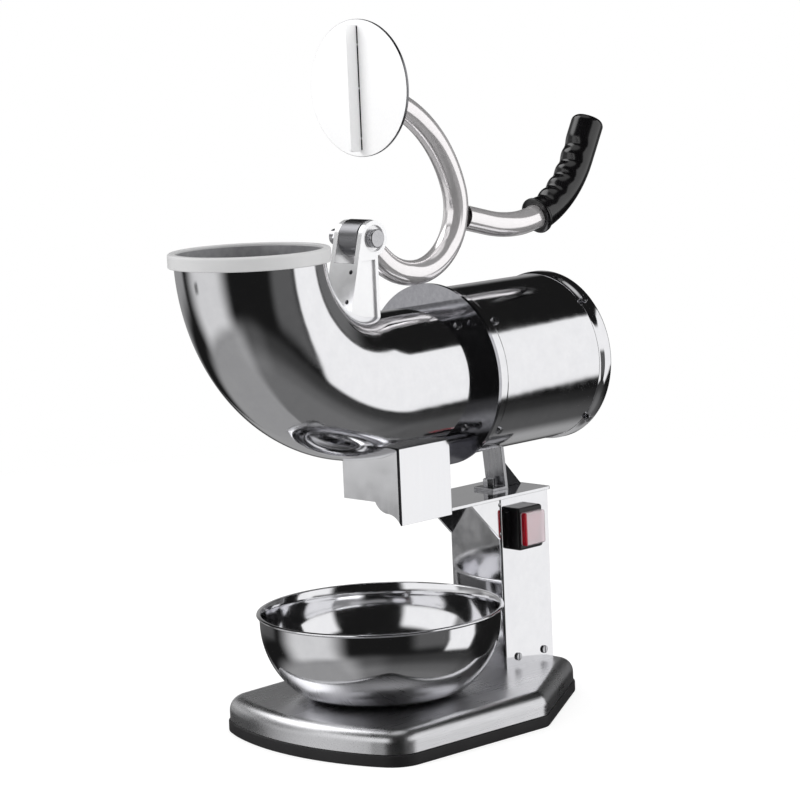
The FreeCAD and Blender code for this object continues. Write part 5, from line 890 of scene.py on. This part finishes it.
def card_surface(name, grid, open_share, level):
    """A stage surface that only reflections see, open where the background should show."""
    material = bpy.data.materials.new(name)
    mesh = mesh_of(name, grid, quads_of(grid.shape, around=False), [material])
    for label, values in (("open_share", open_share), ("card_level", level)):
        layer = mesh.attributes.new(label, "FLOAT", "POINT")
        layer.data.foreach_set("value", np.broadcast_to(values, grid.shape[:2]).astype(np.float32).ravel())
    tree = bare_tree(material)
    opened = add(tree, "Attribute", attribute_name="open_share")
    level_read = add(tree, "Attribute", attribute_name="card_level")
    card = add(tree, "Emission", {"Strength": level_read.outputs["Fac"]})
    clear = add(tree, "BsdfTransparent")
    mixed = add(tree, "MixShader", {"Fac": opened.outputs["Fac"], 1: card, 2: clear})
    add(tree, "OutputMaterial", {"Surface": mixed})
    surface = placed(name, mesh)
    surface.visible_camera = surface.visible_diffuse = surface.visible_shadow = False
    surface.visible_transmission = surface.visible_volume_scatter = False


turn_grid, height_grid = np.meshgrid(np.linspace(-200, 160, 361), np.linspace(-90, 90, 361))
far = 3200.0
turn_angle, height_angle = np.radians(turn_grid), np.radians(height_grid)
dome = points_of(far * np.cos(turn_angle) * np.cos(height_angle), far * np.sin(turn_angle) * np.cos(height_angle),
                 200 + far * np.sin(height_angle))
dome_open, dome_cards = studio(turn_grid, height_grid)
card_surface("studio_dome", dome, dome_open, dome_cards)
print("dome radius", far * MM, "m, open over", round(float((dome_open > 0.5).mean()), 2))

# %% [markdown]
# ## Floor and background
# The floor and the world are white to the camera, and metal and clear plastic see that same white
# through the openings of the dome. The floor still darkens under the machine, because part of it is
# a real matt surface, and it fades into the background before its edge. Mirrors don't see the
# floor itself, because the lower half of the dome stands in for it.

# %% Floor and world
floor_ring = np.radians(np.arange(0, 360, 3))
floor_reach = np.geomspace(20, 3000, 40)[:, None]
floor_points = points_of(floor_reach * np.cos(floor_ring), floor_reach * np.sin(floor_ring), 0.0)
floor_quads = quads_of(floor_points.shape)[..., [0, 3, 2, 1]]
floor_finish = bpy.data.materials.new("white_floor")
tree = bare_tree(floor_finish)
fade_from, fade_to = 0.35, 1.1


def seen_white(tree):
    """1 for rays of the camera and rays that leave metal or clear plastic, 0 for the rest."""
    ray = add(tree, "LightPath")
    seen = add(tree, "Math", {0: ray.outputs["Is Camera Ray"], 1: ray.outputs["Is Glossy Ray"]},
               operation="MAXIMUM")
    return add(tree, "Math", {0: seen, 1: ray.outputs["Is Transmission Ray"]}, operation="MAXIMUM")


spot = add(tree, "TexCoord")
reach = add(tree, "VectorMath", {0: spot.outputs["Object"]}, operation="LENGTH")
fade = add(tree, "MapRange", {"Value": reach.outputs["Value"]}, in_From_Min=fade_from, in_From_Max=fade_to)
matt = add(tree, "BsdfDiffuse", in_Color=linear("#B9B9B9"))
glow = add(tree, "Emission", in_Strength=0.62)
white = add(tree, "Emission")
near = add(tree, "AddShader", {0: matt, 1: glow})
faded = add(tree, "MixShader", {"Fac": fade, 1: near, 2: white})
plain = add(tree, "BsdfDiffuse", in_Color=linear("#D8D8D8"))
mixed = add(tree, "MixShader", {"Fac": seen_white(tree), 1: plain, 2: faded})
add(tree, "OutputMaterial", {"Surface": mixed})
floor = placed("studio_floor", mesh_of("studio_floor", floor_points, floor_quads, [floor_finish],
                                       range(len(floor_ring))))
floor.visible_glossy = False

world = bpy.data.worlds.new("studio_world")
scene.world = world
tree = bare_tree(world)
light = add(tree, "Background", in_Color=(1, 1, 1, 1), in_Strength=0.82)
white = add(tree, "Background", in_Color=(1, 1, 1, 1))
mixed = add(tree, "MixShader", {"Fac": seen_white(tree), 1: light, 2: white})
add(tree, "OutputWorld", {"Surface": mixed})
print("floor of", floor_quads[..., 0].size, "cells fades out between", fade_from, "and", fade_to, "m")

# %% [markdown]
# ## Lamps
# For matt materials the world is a soft even light, and two large lamps add a gentle direction. They
# stay out of the reflections, which belong to the cards.

# %% Lamps


def soft_lamp(name, place, aim, size, power):
    """A large area lamp aimed at a point, seen by matt surfaces and not as a square in the steel."""
    lamp = bpy.data.lights.new(name, "AREA")
    lamp.shape, lamp.size, lamp.energy = "SQUARE", size, power
    holder = placed(name, lamp)
    holder.location = place
    holder.rotation_mode = "QUATERNION"
    holder.rotation_quaternion = (Vector(aim) - Vector(place)).to_track_quat("-Z", "Y")
    holder.visible_glossy = False


soft_lamp("lamp_right", (1.9, 1.2, 1.2), (0, 0, 0.2), 1.6, 26)
soft_lamp("lamp_left", (-1.2, -2.0, 1.6), (0, 0, 0.2), 1.6, 34)
scene.view_settings.view_transform = "Standard"
